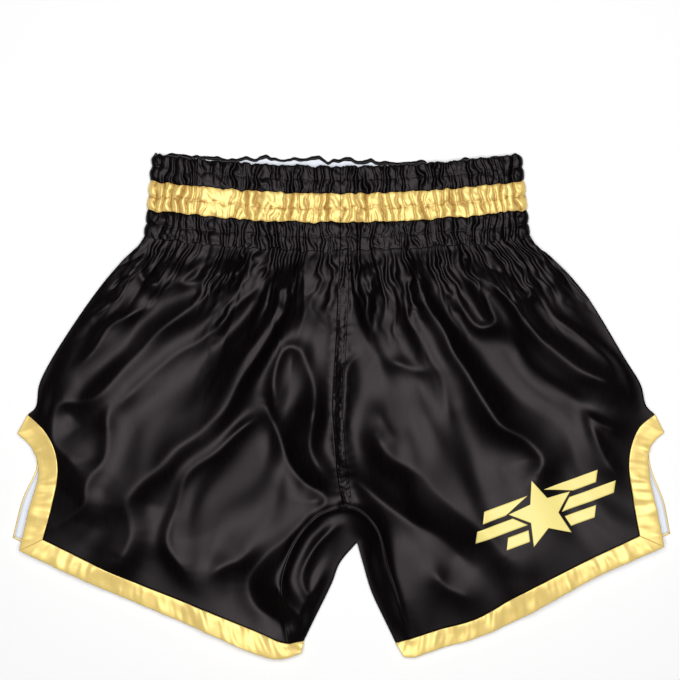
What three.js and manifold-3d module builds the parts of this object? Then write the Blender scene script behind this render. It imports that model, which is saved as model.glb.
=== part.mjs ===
// Boxing shorts, laid flat with the front up. Millimetres.
// +X runs across the front, +Y towards the waistband, +Z up from the surface they lie on.
// Left and right in the names are the wearer's, so the right leg lies at -X.
import * as THREE from "three";
import { mergeVertices } from "three/addons/utils/BufferGeometryUtils.js";
import Module from "manifold-3d";

// ---- driving dimensions ----
const SATIN = 0.8;               // shell fabric with its seam allowance
const LINING = 0.4;              // thin white lining
const SEAM_GAP = 0.3;            // between pieces that are sewn edge to edge
const BACK_LINING_Z = 1.1;       // underside of the back lining
const FRONT_LINING_Z = 1.8;      // underside of the front lining at a seam
const FRONT_SHELL_Z = 3.0;       // underside of the front shell at a seam
const LEG_CROWN = 13;            // how far the gathered front stands off the back
const CROWN_RUN = 75;            // distance over which it rises from a seam
const LINING_CROWN = 0.9;        // the front lining rises this share of that

const LEG_WIDTH = 220;           // about, for spacing
const LEG_LENGTH = 260;
const TRIM_WIDTH = 19;
const GUSSET_LENGTH = 180;

const BAND_HEIGHT = 76.2;        // three inches: six half-inch channels
const CHANNELS = 6;
const BAND_HALF = 167.5;         // half the relaxed waist
const BAND_FLARE = 3.7;          // extra half width at the bottom of the band
const BAND_CENTRE_X = -3.5;
const BAND_END_Y = 147;          // bottom of the band at its two ends
const BAND_SAG = 11;             // how far it dips at the middle
const BACK_RISE = 4;             // how far the back of the waist stands above the front
const BAND_CROWN = 7;
const BAND_CROWN_RUN = 45;
const STRIP = 1.2;               // gathered satin of the band
const ELASTIC = 1.0;
const ELASTIC_WIDTH = 10;
const FACING = 0.5;              // white inside of the band
const LAYER_GAP = 0.4;
const FOLD_RADIUS = 3.1;         // of the band's middle surface at its two ends
const FOLD_CENTRE_Z = STRIP / 2 + FOLD_RADIUS;
const FOLD_SWEEP = 1.5;          // radians that a strip turns before it meets its side seam

const VENT_SPREAD = 7.6;         // how far the back hem corner shows outside the front one
const HEM_RISE = 10.5;           // how far the back hem lies above the front one at the vent
const GUSSET_FOLD = 1.5;         // radius of the fold along the inside of the legs
const LINING_INSET = 3.2;        // the linings stop short of that fold
const LINING_MARGIN = 2 * SEAM_GAP;

const HEM_CELLS = 12;            // mesh cells along a hem
const VENT_CELLS = 5;            // up a vent, and up one side of the gusset
const SEAM_CELLS = 7;            // up the side seam, and up the centre seam
const BAND_CELLS = 8;            // along one strip of the band
const FOLD_CELLS = 2;            // round its end

const BLACK_SATIN = new THREE.MeshStandardMaterial({ color: 0x1c191b, roughness: 0.38, metalness: 0 });
const GOLD_SATIN = new THREE.MeshStandardMaterial({ color: 0xe9c468, roughness: 0.4, metalness: 0 });
const WHITE_LINING = new THREE.MeshStandardMaterial({ color: 0xf0f1f2, roughness: 0.7, metalness: 0 });
const WHITE_ELASTIC = new THREE.MeshStandardMaterial({ color: 0xe4e4e0, roughness: 0.85, metalness: 0 });
const GOLD_PRINT = new THREE.MeshStandardMaterial({ color: 0xf3df7c, roughness: 0.5, metalness: 0 });

const shorts = new THREE.Group();

// ---- outlines, from the hem up or from the side in; x is given for the wearer's left leg ----
// The leg outlines of the two sides differ a little, as the cloth lies.
const OUTLINE = {
  left: {
    side: 1,
    sideSeam: [[281.7, -10.4], [274, -3], [269.1, 15.8], [255.6, 38.3], [219.6, 96.8], [197.1, 122], [167.7, 147]],
    ventInner: [[266.5, -118.5], [261, -84.2], [257.4, -58], [259.8, -39], [268, -21.5], [281.7, -10.4]],
    ventOuter: [[288.3, -128.3], [283.5, -101.3], [275.8, -65.3], [276.3, -42], [281.7, -33.8], [289.8, -26.6]],
    hemInner: [[266.5, -118.5], [211.5, -144.5], [157.5, -172.3], [121.5, -193.1], [85.5, -203.8], [61, -212]],
    hemOuter: [[288.3, -128.3], [229.5, -154.3], [157.5, -194], [121.5, -210.2], [85.5, -221], [66, -228]],
    inseam: [[49, -215.6], [40.5, -198], [27, -169], [19.8, -145], [14.4, -125.6]],
    gussetEdge: [[61, -212], [53, -185], [43, -150], [32, -113], [18, -97], [2, -92]],
    hemEnd: [56.7, -227.8],
  },
  right: {
    side: -1,
    sideSeam: [[281.2, -10.8], [274, -4], [270.9, 15.8], [260.1, 38.3], [221.4, 96.8], [198.9, 123.8], [174.7, 147]],
    ventInner: [[266.4, -122], [259.2, -95.9], [253, -60], [256.5, -39.2], [266, -24], [281.2, -10.8]],
    ventOuter: [[287.6, -132], [279, -95.9], [270.6, -61.7], [275.4, -42.8], [280.5, -36], [289.8, -27.5]],
    hemInner: [[266.4, -122], [198.9, -154.3], [126.9, -183.2], [72.9, -205.7], [54.9, -213.8], [46, -215.5]],
    hemOuter: [[287.6, -132], [216.9, -164.2], [126.9, -202.1], [72.9, -225.5], [56, -229.1], [46, -227.5]],
    inseam: [[33.3, -213.8], [25.2, -197], [8.1, -162], [1, -144], [-14.4, -125.6]],
    gussetEdge: [[46, -215.5], [51, -185], [53, -158], [41, -124], [20, -100], [-2, -92]],
    hemEnd: [35.5, -224],
  },
};
const CENTRE_SEAM = [[2, -92], [-3, -60], [-7, -7], [-4, 60], [-0.5, 136]];

// ---- curves ----
function throughPoints(points, side = 1) {
  const vectors = points.map(([x, y]) => new THREE.Vector3(side * x, y, 0));
  return new THREE.CatmullRomCurve3(vectors, false, "centripetal");
}

function along(curve, cells) {
  return curve.getSpacedPoints(cells);
}

function nearestDistance(point, chain) {
  let best = Infinity;
  for (let i = 1; i < chain.length; i++) {
    const segment = new THREE.Line3(chain[i - 1], chain[i]);
    const foot = segment.closestPointToPoint(point, true, new THREE.Vector3());
    best = Math.min(best, Math.hypot(foot.x - point.x, foot.y - point.y));
  }
  return best;
}

// ---- how high the front lies ----
const closedEdges = Object.values(OUTLINE).flatMap(({ side, sideSeam, inseam }) => [
  along(throughPoints(sideSeam, side), 16),
  along(throughPoints(inseam, side), 10),
]);

function frontCrown(x, y) {
  const point = new THREE.Vector3(x, y, 0);
  const distance = Math.min(...closedEdges.map((edge) => nearestDistance(point, edge)));
  return LEG_CROWN * THREE.MathUtils.smoothstep(distance, 0, CROWN_RUN);
}

// ---- sheets ----
// A box of one cell's thickness, each vertex moved by place(u, v, w): u across, v up, w through.
function sheet(name, cellsU, cellsV, material, place) {
  const geometry = new THREE.BoxGeometry(1, 1, 1, cellsU, cellsV, 1);
  const position = geometry.attributes.position;
  for (let i = 0; i < position.count; i++) {
    const point = place(position.getX(i) + 0.5, position.getY(i) + 0.5, position.getZ(i) + 0.5);
    position.setXYZ(i, point.x, point.y, point.z);
  }
  addPiece(name, geometry, material);
}

function addPiece(name, geometry, material) {
  geometry.deleteAttribute("normal");
  geometry.deleteAttribute("uv");
  const mesh = new THREE.Mesh(mergeVertices(geometry), material);
  mesh.name = name;
  shorts.add(mesh);
}

function lerp2(a, b, t) {
  return new THREE.Vector3().lerpVectors(a, b, t);
}

function pointOn(chain, t) {
  const place = t * (chain.length - 1);
  const index = Math.min(Math.floor(place), chain.length - 2);
  return lerp2(chain[index], chain[index + 1], place - index);
}

// The surface between four edges that share their corners.
function fourSided(bottom, top, start, end) {
  return (u, v) => {
    const across = lerp2(pointOn(bottom, u), pointOn(top, u), v);
    const up = lerp2(pointOn(start, v), pointOn(end, v), u);
    const low = lerp2(bottom[0], bottom[bottom.length - 1], u);
    const high = lerp2(top[0], top[top.length - 1], u);
    return across.add(up).sub(lerp2(low, high, v));
  };
}

// Keeps half the gap inside both edges of a patch that is about size across.
function inset(t, size, gap = SEAM_GAP) {
  const share = gap / 2 / size;
  return share + t * (1 - 2 * share);
}

// ---- the back lies shifted from the front: out at the vents, up at the hem and at the waist ----
const HEM_SHIFT_Y = -25;         // the hem's shift starts at this height and grows downwards
const HEM_SHIFT_RUN = 85;
const HEM_SHIFT_X = 62;          // and from here outwards
const HEM_SHIFT_WIDTH = 205;
const WAIST_SHIFT_Y = 60;        // the waist's shift starts here and grows up to the band

function backShift(point) {
  const outward = THREE.MathUtils.clamp((Math.abs(point.x) - HEM_SHIFT_X) / HEM_SHIFT_WIDTH, 0, 1);
  const down = THREE.MathUtils.smoothstep(HEM_SHIFT_Y - point.y, 0, HEM_SHIFT_RUN);
  const up = THREE.MathUtils.smoothstep(point.y, WAIST_SHIFT_Y, BAND_END_Y - BAND_SAG);
  const middle = 1 - (point.x / BAND_HALF) ** 2;
  point.x += Math.sign(point.x) * VENT_SPREAD * outward * down;
  point.y += HEM_RISE * outward * down + BACK_RISE * up * Math.max(middle, 0);
  return point;
}

// ---- leg pieces ----
function bandBottomY(x) {
  return BAND_END_Y - BAND_SAG * (1 - ((x - BAND_CENTRE_X) / BAND_HALF) ** 2);
}

// The chains of points that bound a leg. Those of neighbouring pieces are the same points.
function legChains(leg) {
  const { side } = leg;
  const centre = along(throughPoints(CENTRE_SEAM), SEAM_CELLS);
  const sideSeam = along(throughPoints(leg.sideSeam, side), SEAM_CELLS);
  const waistEnd = sideSeam[SEAM_CELLS];
  const waist = [];
  for (let i = 0; i <= HEM_CELLS; i++) {
    const x = THREE.MathUtils.lerp(waistEnd.x, centre[SEAM_CELLS].x, i / HEM_CELLS);
    waist.push(new THREE.Vector3(x, bandBottomY(x), 0));
  }
  sideSeam[SEAM_CELLS].copy(waist[0]);
  centre[SEAM_CELLS].copy(waist[HEM_CELLS]);
  return {
    side,
    waist,
    centre,
    sideSeam,
    ventInner: along(throughPoints(leg.ventInner, side), VENT_CELLS),
    ventOuter: along(throughPoints(leg.ventOuter, side), VENT_CELLS),
    hemInner: along(throughPoints(leg.hemInner, side), HEM_CELLS),
    hemOuter: along(throughPoints(leg.hemOuter, side), HEM_CELLS),
    gussetEdge: along(throughPoints(leg.gussetEdge, side), VENT_CELLS),
    inseam: along(throughPoints(leg.inseam, side), VENT_CELLS),
    hemEnd: new THREE.Vector3(side * leg.hemEnd[0], leg.hemEnd[1], 0),
  };
}

// Joins chains that meet end to end into one.
function joinChains(...chains) {
  return chains.flatMap((chain, index) => (index === 0 ? chain : chain.slice(1)));
}

// Resamples a chain to a number of cells, keeping its ends.
function resample(chain, cells) {
  return Array.from({ length: cells + 1 }, (_, i) => pointOn(chain, i / cells));
}

// u runs towards +X on both legs, so that w always points up.
function towardsPlusX(side, u) {
  return side > 0 ? 1 - u : u;
}

// Puts a flat point on the front or on the back, as the underside or the top of a layer.
function onLayer(point, front, low, thickness, w, share = 1) {
  if (front) {
    const crown = share * frontCrown(point.x, point.y);
    return new THREE.Vector3(point.x, point.y, low + crown + thickness * w);
  }
  backShift(point);
  point.z = low + thickness * w;
  return point;
}

function panel(name, chains, front) {
  const rows = VENT_CELLS + SEAM_CELLS;
  const outer = joinChains(chains.ventInner, chains.sideSeam);
  const innerRows = joinChains(resample(chains.gussetEdge, VENT_CELLS), chains.centre);
  const surface = fourSided(chains.hemInner, chains.waist, outer, innerRows);
  sheet(name, HEM_CELLS, rows, BLACK_SATIN, (u, v, w) => {
    const point = surface(inset(towardsPlusX(chains.side, u), LEG_WIDTH), inset(v, LEG_LENGTH));
    return onLayer(point, front, front ? FRONT_SHELL_Z : 0, SATIN, w);
  });
}

// The strip that binds the vent, from the hem corner up to the side seam.
function ventTrim(name, chains, front) {
  sheet(name, 2, VENT_CELLS, GOLD_SATIN, (u, v, w) => {
    const across = inset(towardsPlusX(chains.side, u), TRIM_WIDTH);
    const point = lerp2(pointOn(chains.ventOuter, v), pointOn(chains.ventInner, v), across);
    return onLayer(point, front, front ? FRONT_SHELL_Z : 0, SATIN, w);
  });
}

// The strip along the hem, from the vent strip to the inside of the leg.
function hemTrim(name, chains, front) {
  const upper = [...chains.hemInner, chains.inseam[0]];
  const lower = [...chains.hemOuter, chains.hemEnd];
  sheet(name, HEM_CELLS + 1, 2, GOLD_SATIN, (u, v, w) => {
    const across = inset(towardsPlusX(chains.side, u), LEG_WIDTH);
    const point = lerp2(pointOn(lower, across), pointOn(upper, across), inset(v, TRIM_WIDTH));
    return onLayer(point, front, front ? FRONT_SHELL_Z : 0, SATIN, w);
  });
}

// The lining fills the whole leg, under the trims and under the gusset.
function lining(name, chains, front) {
  const inseam = chains.inseam.map((point, i) => {
    const outward = point.clone().sub(chains.gussetEdge[i]).normalize();
    return point.clone().addScaledVector(outward, -LINING_INSET);
  });
  const innerRows = joinChains(inseam, [inseam[VENT_CELLS], chains.centre[0]], chains.centre);
  const outer = joinChains(chains.ventOuter, [chains.ventOuter[VENT_CELLS], chains.sideSeam[0]], chains.sideSeam);
  const hemEnd = chains.hemEnd.clone().lerp(inseam[0], 0.5);
  innerRows[0] = hemEnd;
  const hem = chains.hemOuter.map((point, i) => lerp2(point, hemEnd, (i / HEM_CELLS) ** 6));
  const surface = fourSided(hem, chains.waist, outer, innerRows);
  const rows = outer.length - 1;
  sheet(name, HEM_CELLS, rows, WHITE_LINING, (u, v, w) => {
    const across = inset(towardsPlusX(chains.side, u), LEG_WIDTH, LINING_MARGIN);
    const point = surface(across, inset(v, LEG_LENGTH, LINING_MARGIN));
    return onLayer(point, front, front ? FRONT_LINING_Z : BACK_LINING_Z, LINING, w, LINING_CROWN);
  });
}

for (const [who, outline] of Object.entries(OUTLINE)) {
  const chains = legChains(outline);
  for (const front of [true, false]) {
    const where = front ? "front" : "back";
    panel(`${where}_panel_${who}`, chains, front);
    ventTrim(`${where}_vent_trim_${who}`, chains, front);
    hemTrim(`${where}_hem_trim_${who}`, chains, front);
    lining(`${where}_lining_${who}`, chains, front);
  }
}

// ---- the gusset: one folded piece between the legs, from hem to hem ----
const GUSSET_FLAT_CELLS = 2;
const GUSSET_FOLD_CELLS = 4;

function gusset(name, right, left) {
  const edge = joinChains(right.gussetEdge, left.gussetEdge.toReversed());
  const fold = joinChains(right.inseam, left.inseam.toReversed());
  const cells = 2 * GUSSET_FLAT_CELLS + GUSSET_FOLD_CELLS;
  const backZ = SATIN / 2;
  sheet(name, cells, edge.length - 1, BLACK_SATIN, (u, v, w) => {
    const run = inset(v, GUSSET_LENGTH);
    const seam = pointOn(edge, run);
    const inseam = pointOn(fold, run);
    const outward = inseam.clone().sub(seam).normalize();
    const bend = inseam.clone().addScaledVector(outward, -GUSSET_FOLD);
    const frontSeam = seam.clone().addScaledVector(outward, SEAM_GAP / 2);
    const backSeam = backShift(frontSeam.clone());
    const step = u * cells;
    const lift = SATIN * (w - 0.5);
    if (step <= GUSSET_FLAT_CELLS) {
      const flat = lerp2(frontSeam, bend, step / GUSSET_FLAT_CELLS);
      flat.z = FRONT_SHELL_Z + SATIN / 2 + frontCrown(flat.x, flat.y) + lift;
      return flat;
    }
    if (step >= GUSSET_FLAT_CELLS + GUSSET_FOLD_CELLS) {
      const flat = lerp2(backSeam, bend, (cells - step) / GUSSET_FLAT_CELLS);
      flat.z = backZ - lift;
      return flat;
    }
    const angle = ((step - GUSSET_FLAT_CELLS) / GUSSET_FOLD_CELLS) * Math.PI;
    const frontZ = FRONT_SHELL_Z + SATIN / 2 + frontCrown(bend.x, bend.y);
    const radius = (frontZ - backZ) / 2 + lift;
    const turned = bend.addScaledVector(outward, radius * Math.sin(angle));
    turned.z = (frontZ + backZ) / 2 + radius * Math.cos(angle);
    return turned;
  });
}

// ---- the waistband ----
// A point of the band: across is its distance round one half in cells, from the centre seam to the
// side; depth is how far under the outer strips' middle it lies; h is its height in the band.
function bandPoint(side, front, across, depth, h, sweep) {
  const seamX = CENTRE_SEAM.at(-1)[0];
  const foldX = BAND_CENTRE_X + side * (BAND_HALF - FOLD_RADIUS);
  const flatShare = Math.min(across / BAND_CELLS, 1);
  const angle = (Math.max(across - BAND_CELLS, 0) / FOLD_CELLS) * sweep;
  const flatX = THREE.MathUtils.lerp(seamX, foldX, flatShare);
  const radius = FOLD_RADIUS - depth;
  const crown = front ? BAND_CROWN * THREE.MathUtils.smoothstep(Math.abs(foldX - flatX), 0, BAND_CROWN_RUN) : 0;
  const up = front ? 1 : -1;
  const x = flatX + side * radius * Math.sin(angle);
  const z = FOLD_CENTRE_Z + up * radius * Math.cos(angle) + crown;
  const bottomX = flaredX(x, 0);
  const middle = 1 - (bottomX / BAND_HALF) ** 2;
  const rise = front ? 0 : BACK_RISE * Math.max(middle, 0);
  return new THREE.Vector3(flaredX(x, h), bandBottomY(bottomX) + rise + h, z);
}

// The band is a little wider at its bottom than at its top.
function flaredX(x, h) {
  const share = (BAND_FLARE / BAND_HALF) * (1 - (2 * h) / BAND_HEIGHT);
  return x + (x - BAND_CENTRE_X) * share;
}

// One gathered strip of the band, from the centre seam to a side seam.
function bandStrip(name, side, front, low, high, material) {
  const cells = BAND_CELLS + FOLD_CELLS;
  sheet(name, cells, 1, material, (u, v, w) => {
    const across = cells * inset(side > 0 ? u : 1 - u, BAND_HALF);
    const h = low + (high - low) * inset(v, high - low);
    const depth = STRIP * (front ? 0.5 - w : w - 0.5);
    return bandPoint(side, front, across, depth, h, FOLD_SWEEP);
  });
}

// A closed band that runs all the way round inside the strips: an elastic, or the facing.
function bandLoop(name, low, high, middleDepth, thickness, material) {
  const half = BAND_CELLS + FOLD_CELLS;
  const around = 4 * half;
  const corners = [[0.5, high], [0.5, low], [-0.5, low], [-0.5, high]];
  const geometry = new THREE.TorusGeometry(1, 0.3, corners.length, around);
  const { position, uv } = geometry.attributes;
  for (let i = 0; i < position.count; i++) {
    const step = Math.round(uv.getX(i) * around) % around;
    const [through, h] = corners[Math.round(uv.getY(i) * corners.length) % corners.length];
    const quarter = Math.floor(step / half);
    const within = step % half;
    const across = quarter % 2 === 0 ? within : half - within;
    const side = quarter < 2 ? 1 : -1;
    const front = quarter === 0 || quarter === 3;
    const point = bandPoint(side, front, across, middleDepth + through * thickness, h, Math.PI / 2);
    position.setXYZ(i, point.x, point.y, point.z);
  }
  addPiece(name, geometry, material);
}

const CHANNEL = BAND_HEIGHT / CHANNELS;
const STRIPS = [                  // from the bottom of the band up
  ["lower", BLACK_SATIN],
  ["gold", GOLD_SATIN],
  ["top", BLACK_SATIN],
];

function waistband() {
  const stripHeight = BAND_HEIGHT / STRIPS.length;
  STRIPS.forEach(([level, material], index) => {
    for (const [who, { side }] of Object.entries(OUTLINE)) {
      for (const front of [true, false]) {
        const name = `${front ? "front" : "back"}_band_${level}_${who}`;
        bandStrip(name, side, front, index * stripHeight, (index + 1) * stripHeight, material);
      }
    }
  });
  const elasticDepth = STRIP / 2 + LAYER_GAP + ELASTIC / 2;
  for (let channel = 0; channel < CHANNELS; channel++) {
    const low = channel * CHANNEL + (CHANNEL - ELASTIC_WIDTH) / 2;
    bandLoop(`elastic_${channel + 1}`, low, low + ELASTIC_WIDTH, elasticDepth, ELASTIC, WHITE_ELASTIC);
  }
  const facingDepth = elasticDepth + ELASTIC / 2 + LAYER_GAP + FACING / 2;
  bandLoop("band_facing", SEAM_GAP, BAND_HEIGHT - SEAM_GAP, facingDepth, FACING, WHITE_LINING);
}

// ---- the emblem printed on the left leg: a star over three slanted bars ----
const EMBLEM_AT = [180, -98];
const EMBLEM_TILT = 20;          // degrees
const EMBLEM_THICKNESS = 0.3;
const STAR_RADIUS = 31;
const STAR_WAIST = 0.45;         // inner radius as a share of the outer
const BAR_LENGTHS = [84, 132, 108];
const BAR_HEIGHT = 10;
const BAR_PITCH = 14.5;
const BAR_SLANT = 5;             // how far a bar's end leans over its height

async function loadManifold() {
  const library = await Module();
  library.setup();
  return library;
}

function starShape() {
  const shape = new THREE.Shape();
  for (let i = 0; i < 10; i++) {
    const radius = STAR_RADIUS * (i % 2 === 0 ? 1 : STAR_WAIST);
    const angle = Math.PI / 2 + (i * Math.PI) / 5;
    const point = [radius * Math.cos(angle), radius * Math.sin(angle)];
    if (i === 0) {
      shape.moveTo(...point);
    } else {
      shape.lineTo(...point);
    }
  }
  return shape;
}

function barShape(length, y) {
  const shape = new THREE.Shape();
  shape.moveTo(-length / 2, y - BAR_HEIGHT / 2);
  shape.lineTo(length / 2, y - BAR_HEIGHT / 2);
  shape.lineTo(length / 2 + BAR_SLANT, y + BAR_HEIGHT / 2);
  shape.lineTo(-length / 2 + BAR_SLANT, y + BAR_HEIGHT / 2);
  return shape;
}

function solidOf(library, shape) {
  const geometry = new THREE.ExtrudeGeometry(shape, { depth: EMBLEM_THICKNESS, bevelEnabled: false });
  geometry.deleteAttribute("normal");
  geometry.deleteAttribute("uv");
  const merged = mergeVertices(geometry);
  return new library.Manifold(new library.Mesh({
    numProp: 3,
    vertProperties: new Float32Array(merged.attributes.position.array),
    triVerts: new Uint32Array(merged.index.array),
  }));
}

function emblem(library) {
  let solid = solidOf(library, starShape());
  BAR_LENGTHS.forEach((length, index) => {
    solid = solid.add(solidOf(library, barShape(length, (index - 1) * BAR_PITCH)));
  });
  const { vertProperties, triVerts } = solid.getMesh();
  const geometry = new THREE.BufferGeometry();
  geometry.setAttribute("position", new THREE.BufferAttribute(vertProperties, 3));
  geometry.setIndex(new THREE.BufferAttribute(triVerts, 1));
  const mesh = new THREE.Mesh(mergeVertices(geometry), GOLD_PRINT);
  mesh.name = "leg_emblem";
  mesh.position.set(...EMBLEM_AT, FRONT_SHELL_Z + SATIN + LEG_CROWN + SEAM_GAP);
  mesh.rotation.z = THREE.MathUtils.degToRad(EMBLEM_TILT);
  shorts.add(mesh);
}

gusset("crotch_gusset", legChains(OUTLINE.right), legChains(OUTLINE.left));
waistband();
emblem(await loadManifold());

// ---- the origin: middle of the outline, on the surface the shorts lie on ----
const box = new THREE.Box3().setFromObject(shorts);
const middle = box.getCenter(new THREE.Vector3());
shorts.position.set(-middle.x, -middle.y, -box.min.z);

export default shorts;
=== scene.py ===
"""Boxing shorts laid flat, front up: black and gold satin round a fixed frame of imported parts."""
import math

import bpy
import numpy as np
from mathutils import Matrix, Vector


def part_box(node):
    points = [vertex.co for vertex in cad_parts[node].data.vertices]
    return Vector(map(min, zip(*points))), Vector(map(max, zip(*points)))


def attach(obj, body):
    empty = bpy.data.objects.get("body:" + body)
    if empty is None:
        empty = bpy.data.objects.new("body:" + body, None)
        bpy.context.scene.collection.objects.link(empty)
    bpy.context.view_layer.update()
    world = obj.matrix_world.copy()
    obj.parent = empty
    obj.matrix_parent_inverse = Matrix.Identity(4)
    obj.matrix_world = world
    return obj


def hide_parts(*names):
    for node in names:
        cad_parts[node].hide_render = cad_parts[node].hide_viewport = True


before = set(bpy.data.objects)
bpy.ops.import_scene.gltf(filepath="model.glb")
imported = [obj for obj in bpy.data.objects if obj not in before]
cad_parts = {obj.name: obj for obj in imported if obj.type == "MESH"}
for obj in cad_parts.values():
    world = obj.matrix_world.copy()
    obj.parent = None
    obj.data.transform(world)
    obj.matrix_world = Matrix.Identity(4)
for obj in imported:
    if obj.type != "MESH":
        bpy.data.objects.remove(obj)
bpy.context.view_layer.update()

bl_info = {
    "name": "Boxing shorts",
    "version": (1, 0, 0),
    "blender": (4, 5, 0),
    "location": "3D View > Sidebar > Shorts",
    "description": "Makes satin boxing shorts with a gathered waistband, lined legs and bound vents",
    "category": "Object",
}

MM = 0.001
SIDES = {"left": 1, "right": -1}


# ---------------------------------------------------------------- the pattern
# Outlines in millimetres, from the middle of the legs. x is given for the wearer's left leg, and
# the right leg is mirrored; the two differ a little, as the cloth lies.
OUTLINE = {
    "left": {
        "side_seam": [(281.7, -10.4), (274, -3), (269.1, 15.8), (255.6, 38.3), (219.6, 96.8), (197.1, 122),
                      (167.7, 147)],
        "vent_inner": [(266.5, -118.5), (261, -84.2), (257.4, -58), (259.8, -39), (268, -21.5),
                       (281.7, -10.4)],
        "vent_outer": [(288.3, -128.3), (283.5, -101.3), (275.8, -65.3), (276.3, -42), (281.7, -33.8),
                       (289.8, -26.6)],
        "hem_inner": [(266.5, -118.5), (211.5, -144.5), (157.5, -172.3), (121.5, -193.1), (85.5, -203.8),
                      (61, -212)],
        "hem_outer": [(288.3, -128.3), (229.5, -154.3), (157.5, -194), (121.5, -210.2), (85.5, -221),
                      (66, -228)],
        "inseam": [(49, -215.6), (40.5, -198), (27, -169), (19.8, -145), (14.4, -125.6)],
        "gusset_edge": [(61, -212), (53, -185), (43, -150), (32, -113), (18, -97), (2, -92)],
        "hem_end": [(56.7, -227.8)],
    },
    "right": {
        "side_seam": [(281.2, -10.8), (274, -4), (270.9, 15.8), (260.1, 38.3), (221.4, 96.8), (198.9, 123.8),
                      (174.7, 147)],
        "vent_inner": [(266.4, -122), (259.2, -95.9), (253, -60), (256.5, -39.2), (266, -24), (281.2, -10.8)],
        "vent_outer": [(287.6, -132), (279, -95.9), (270.6, -61.7), (275.4, -42.8), (280.5, -36),
                       (289.8, -27.5)],
        "hem_inner": [(266.4, -122), (198.9, -154.3), (126.9, -183.2), (72.9, -205.7), (54.9, -213.8),
                      (46, -215.5)],
        "hem_outer": [(287.6, -132), (216.9, -164.2), (126.9, -202.1), (72.9, -225.5), (56, -229.1),
                      (46, -227.5)],
        "inseam": [(33.3, -213.8), (25.2, -197), (8.1, -162), (1, -144), (-14.4, -125.6)],
        "gusset_edge": [(46, -215.5), (51, -185), (53, -158), (41, -124), (20, -100), (-2, -92)],
        "hem_end": [(35.5, -224)],
    },
}
CENTRE_SEAM = [(2, -92), (-3, -60), (-7, -7), (-4, 60), (-0.5, 136)]
BAND_HEIGHT = 76.2
CHANNELS = 6
CHANNEL = BAND_HEIGHT / CHANNELS
BAND_HALF = 167.5
BAND_FLARE = 3.7
BAND_CENTRE_X = -3.5
BAND_END_Y = 147
BAND_SAG = 11
BACK_RISE = 8


def spline(points, count=160):
    """A smooth curve through the points, as count + 1 points at even steps along it."""
    p = np.array(points, float)
    p = np.vstack([2 * p[0] - p[1], p, 2 * p[-1] - p[-2]])
    knots = np.concatenate([[0], np.cumsum(np.sqrt(np.linalg.norm(np.diff(p, axis=0), axis=1)))])
    pieces = []
    for i in range(1, len(p) - 2):
        t = np.linspace(knots[i], knots[i + 1], 24, endpoint=False)[:, None]
        t0, t1, t2, t3 = knots[i - 1:i + 3]
        a1 = (t1 - t) / (t1 - t0) * p[i - 1] + (t - t0) / (t1 - t0) * p[i]
        a2 = (t2 - t) / (t2 - t1) * p[i] + (t - t1) / (t2 - t1) * p[i + 1]
        a3 = (t3 - t) / (t3 - t2) * p[i + 1] + (t - t2) / (t3 - t2) * p[i + 2]
        b1 = (t2 - t) / (t2 - t0) * a1 + (t - t0) / (t2 - t0) * a2
        b2 = (t3 - t) / (t3 - t1) * a2 + (t - t1) / (t3 - t1) * a3
        pieces.append((t2 - t) / (t2 - t1) * b1 + (t - t1) / (t2 - t1) * b2)
    return resample(np.vstack(pieces + [p[-2:-1]]), count)


def resample(chain, count):
    """The chain again, as count + 1 points at even steps along it."""
    lengths = np.concatenate([[0], np.cumsum(np.linalg.norm(np.diff(chain, axis=0), axis=1))])
    steps = np.linspace(0, lengths[-1], count + 1)
    return np.stack([np.interp(steps, lengths, chain[:, k]) for k in range(2)], axis=1)


def point_on(chain, t):
    """Points at the shares t of the way along a chain of even steps."""
    steps = np.linspace(0, 1, len(chain))
    return np.stack([np.interp(t, steps, chain[:, k]) for k in range(2)], axis=1)


def four_sided(bottom, top, start, end):
    """The surface between four edges that share their corners, as a function of u and v."""
    def place(u, v):
        across = (1 - v)[:, None] * point_on(bottom, u) + v[:, None] * point_on(top, u)
        up = (1 - u)[:, None] * point_on(start, v) + u[:, None] * point_on(end, v)
        low = (1 - u)[:, None] * bottom[0] + u[:, None] * bottom[-1]
        high = (1 - u)[:, None] * top[0] + u[:, None] * top[-1]
        return across + up - (1 - v)[:, None] * low - v[:, None] * high
    return place


def mirrored(points, side):
    return [(side * x, y) for x, y in points]


def band_bottom(x):
    return BAND_END_Y - BAND_SAG * (1 - ((x - BAND_CENTRE_X) / BAND_HALF) ** 2)


def leg_chains(who):
    """The chains of points that bound one leg, in the pattern's millimetres."""
    chains = {name: spline(mirrored(points, SIDES[who])) for name, points in OUTLINE[who].items()
              if name != "hem_end"}
    chains["hem_end"] = np.array(mirrored(OUTLINE[who]["hem_end"], SIDES[who])[0], float)
    chains["centre"] = spline(CENTRE_SEAM)
    x = np.linspace(chains["side_seam"][-1, 0], chains["centre"][-1, 0], 161)
    chains["waist"] = np.stack([x, band_bottom(x)], axis=1)
    chains["side_seam"][-1] = chains["waist"][0]
    chains["centre"][-1] = chains["waist"][-1]
    return chains


LEGS = {who: leg_chains(who) for who in SIDES}

# The pattern's own middle, against the frame's: the trims reach the frame's lowest and widest places.
LOW_HEM = min(chains["hem_outer"][:, 1].min() for chains in LEGS.values())
OFFSET = np.array([
    (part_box("front_vent_trim_left")[1][0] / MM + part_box("front_vent_trim_right")[0][0] / MM) / 2
    - (LEGS["left"]["vent_outer"][:, 0].max() + LEGS["right"]["vent_outer"][:, 0].min()) / 2,
    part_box("front_hem_trim_right")[0][1] / MM - LOW_HEM,
])


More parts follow.
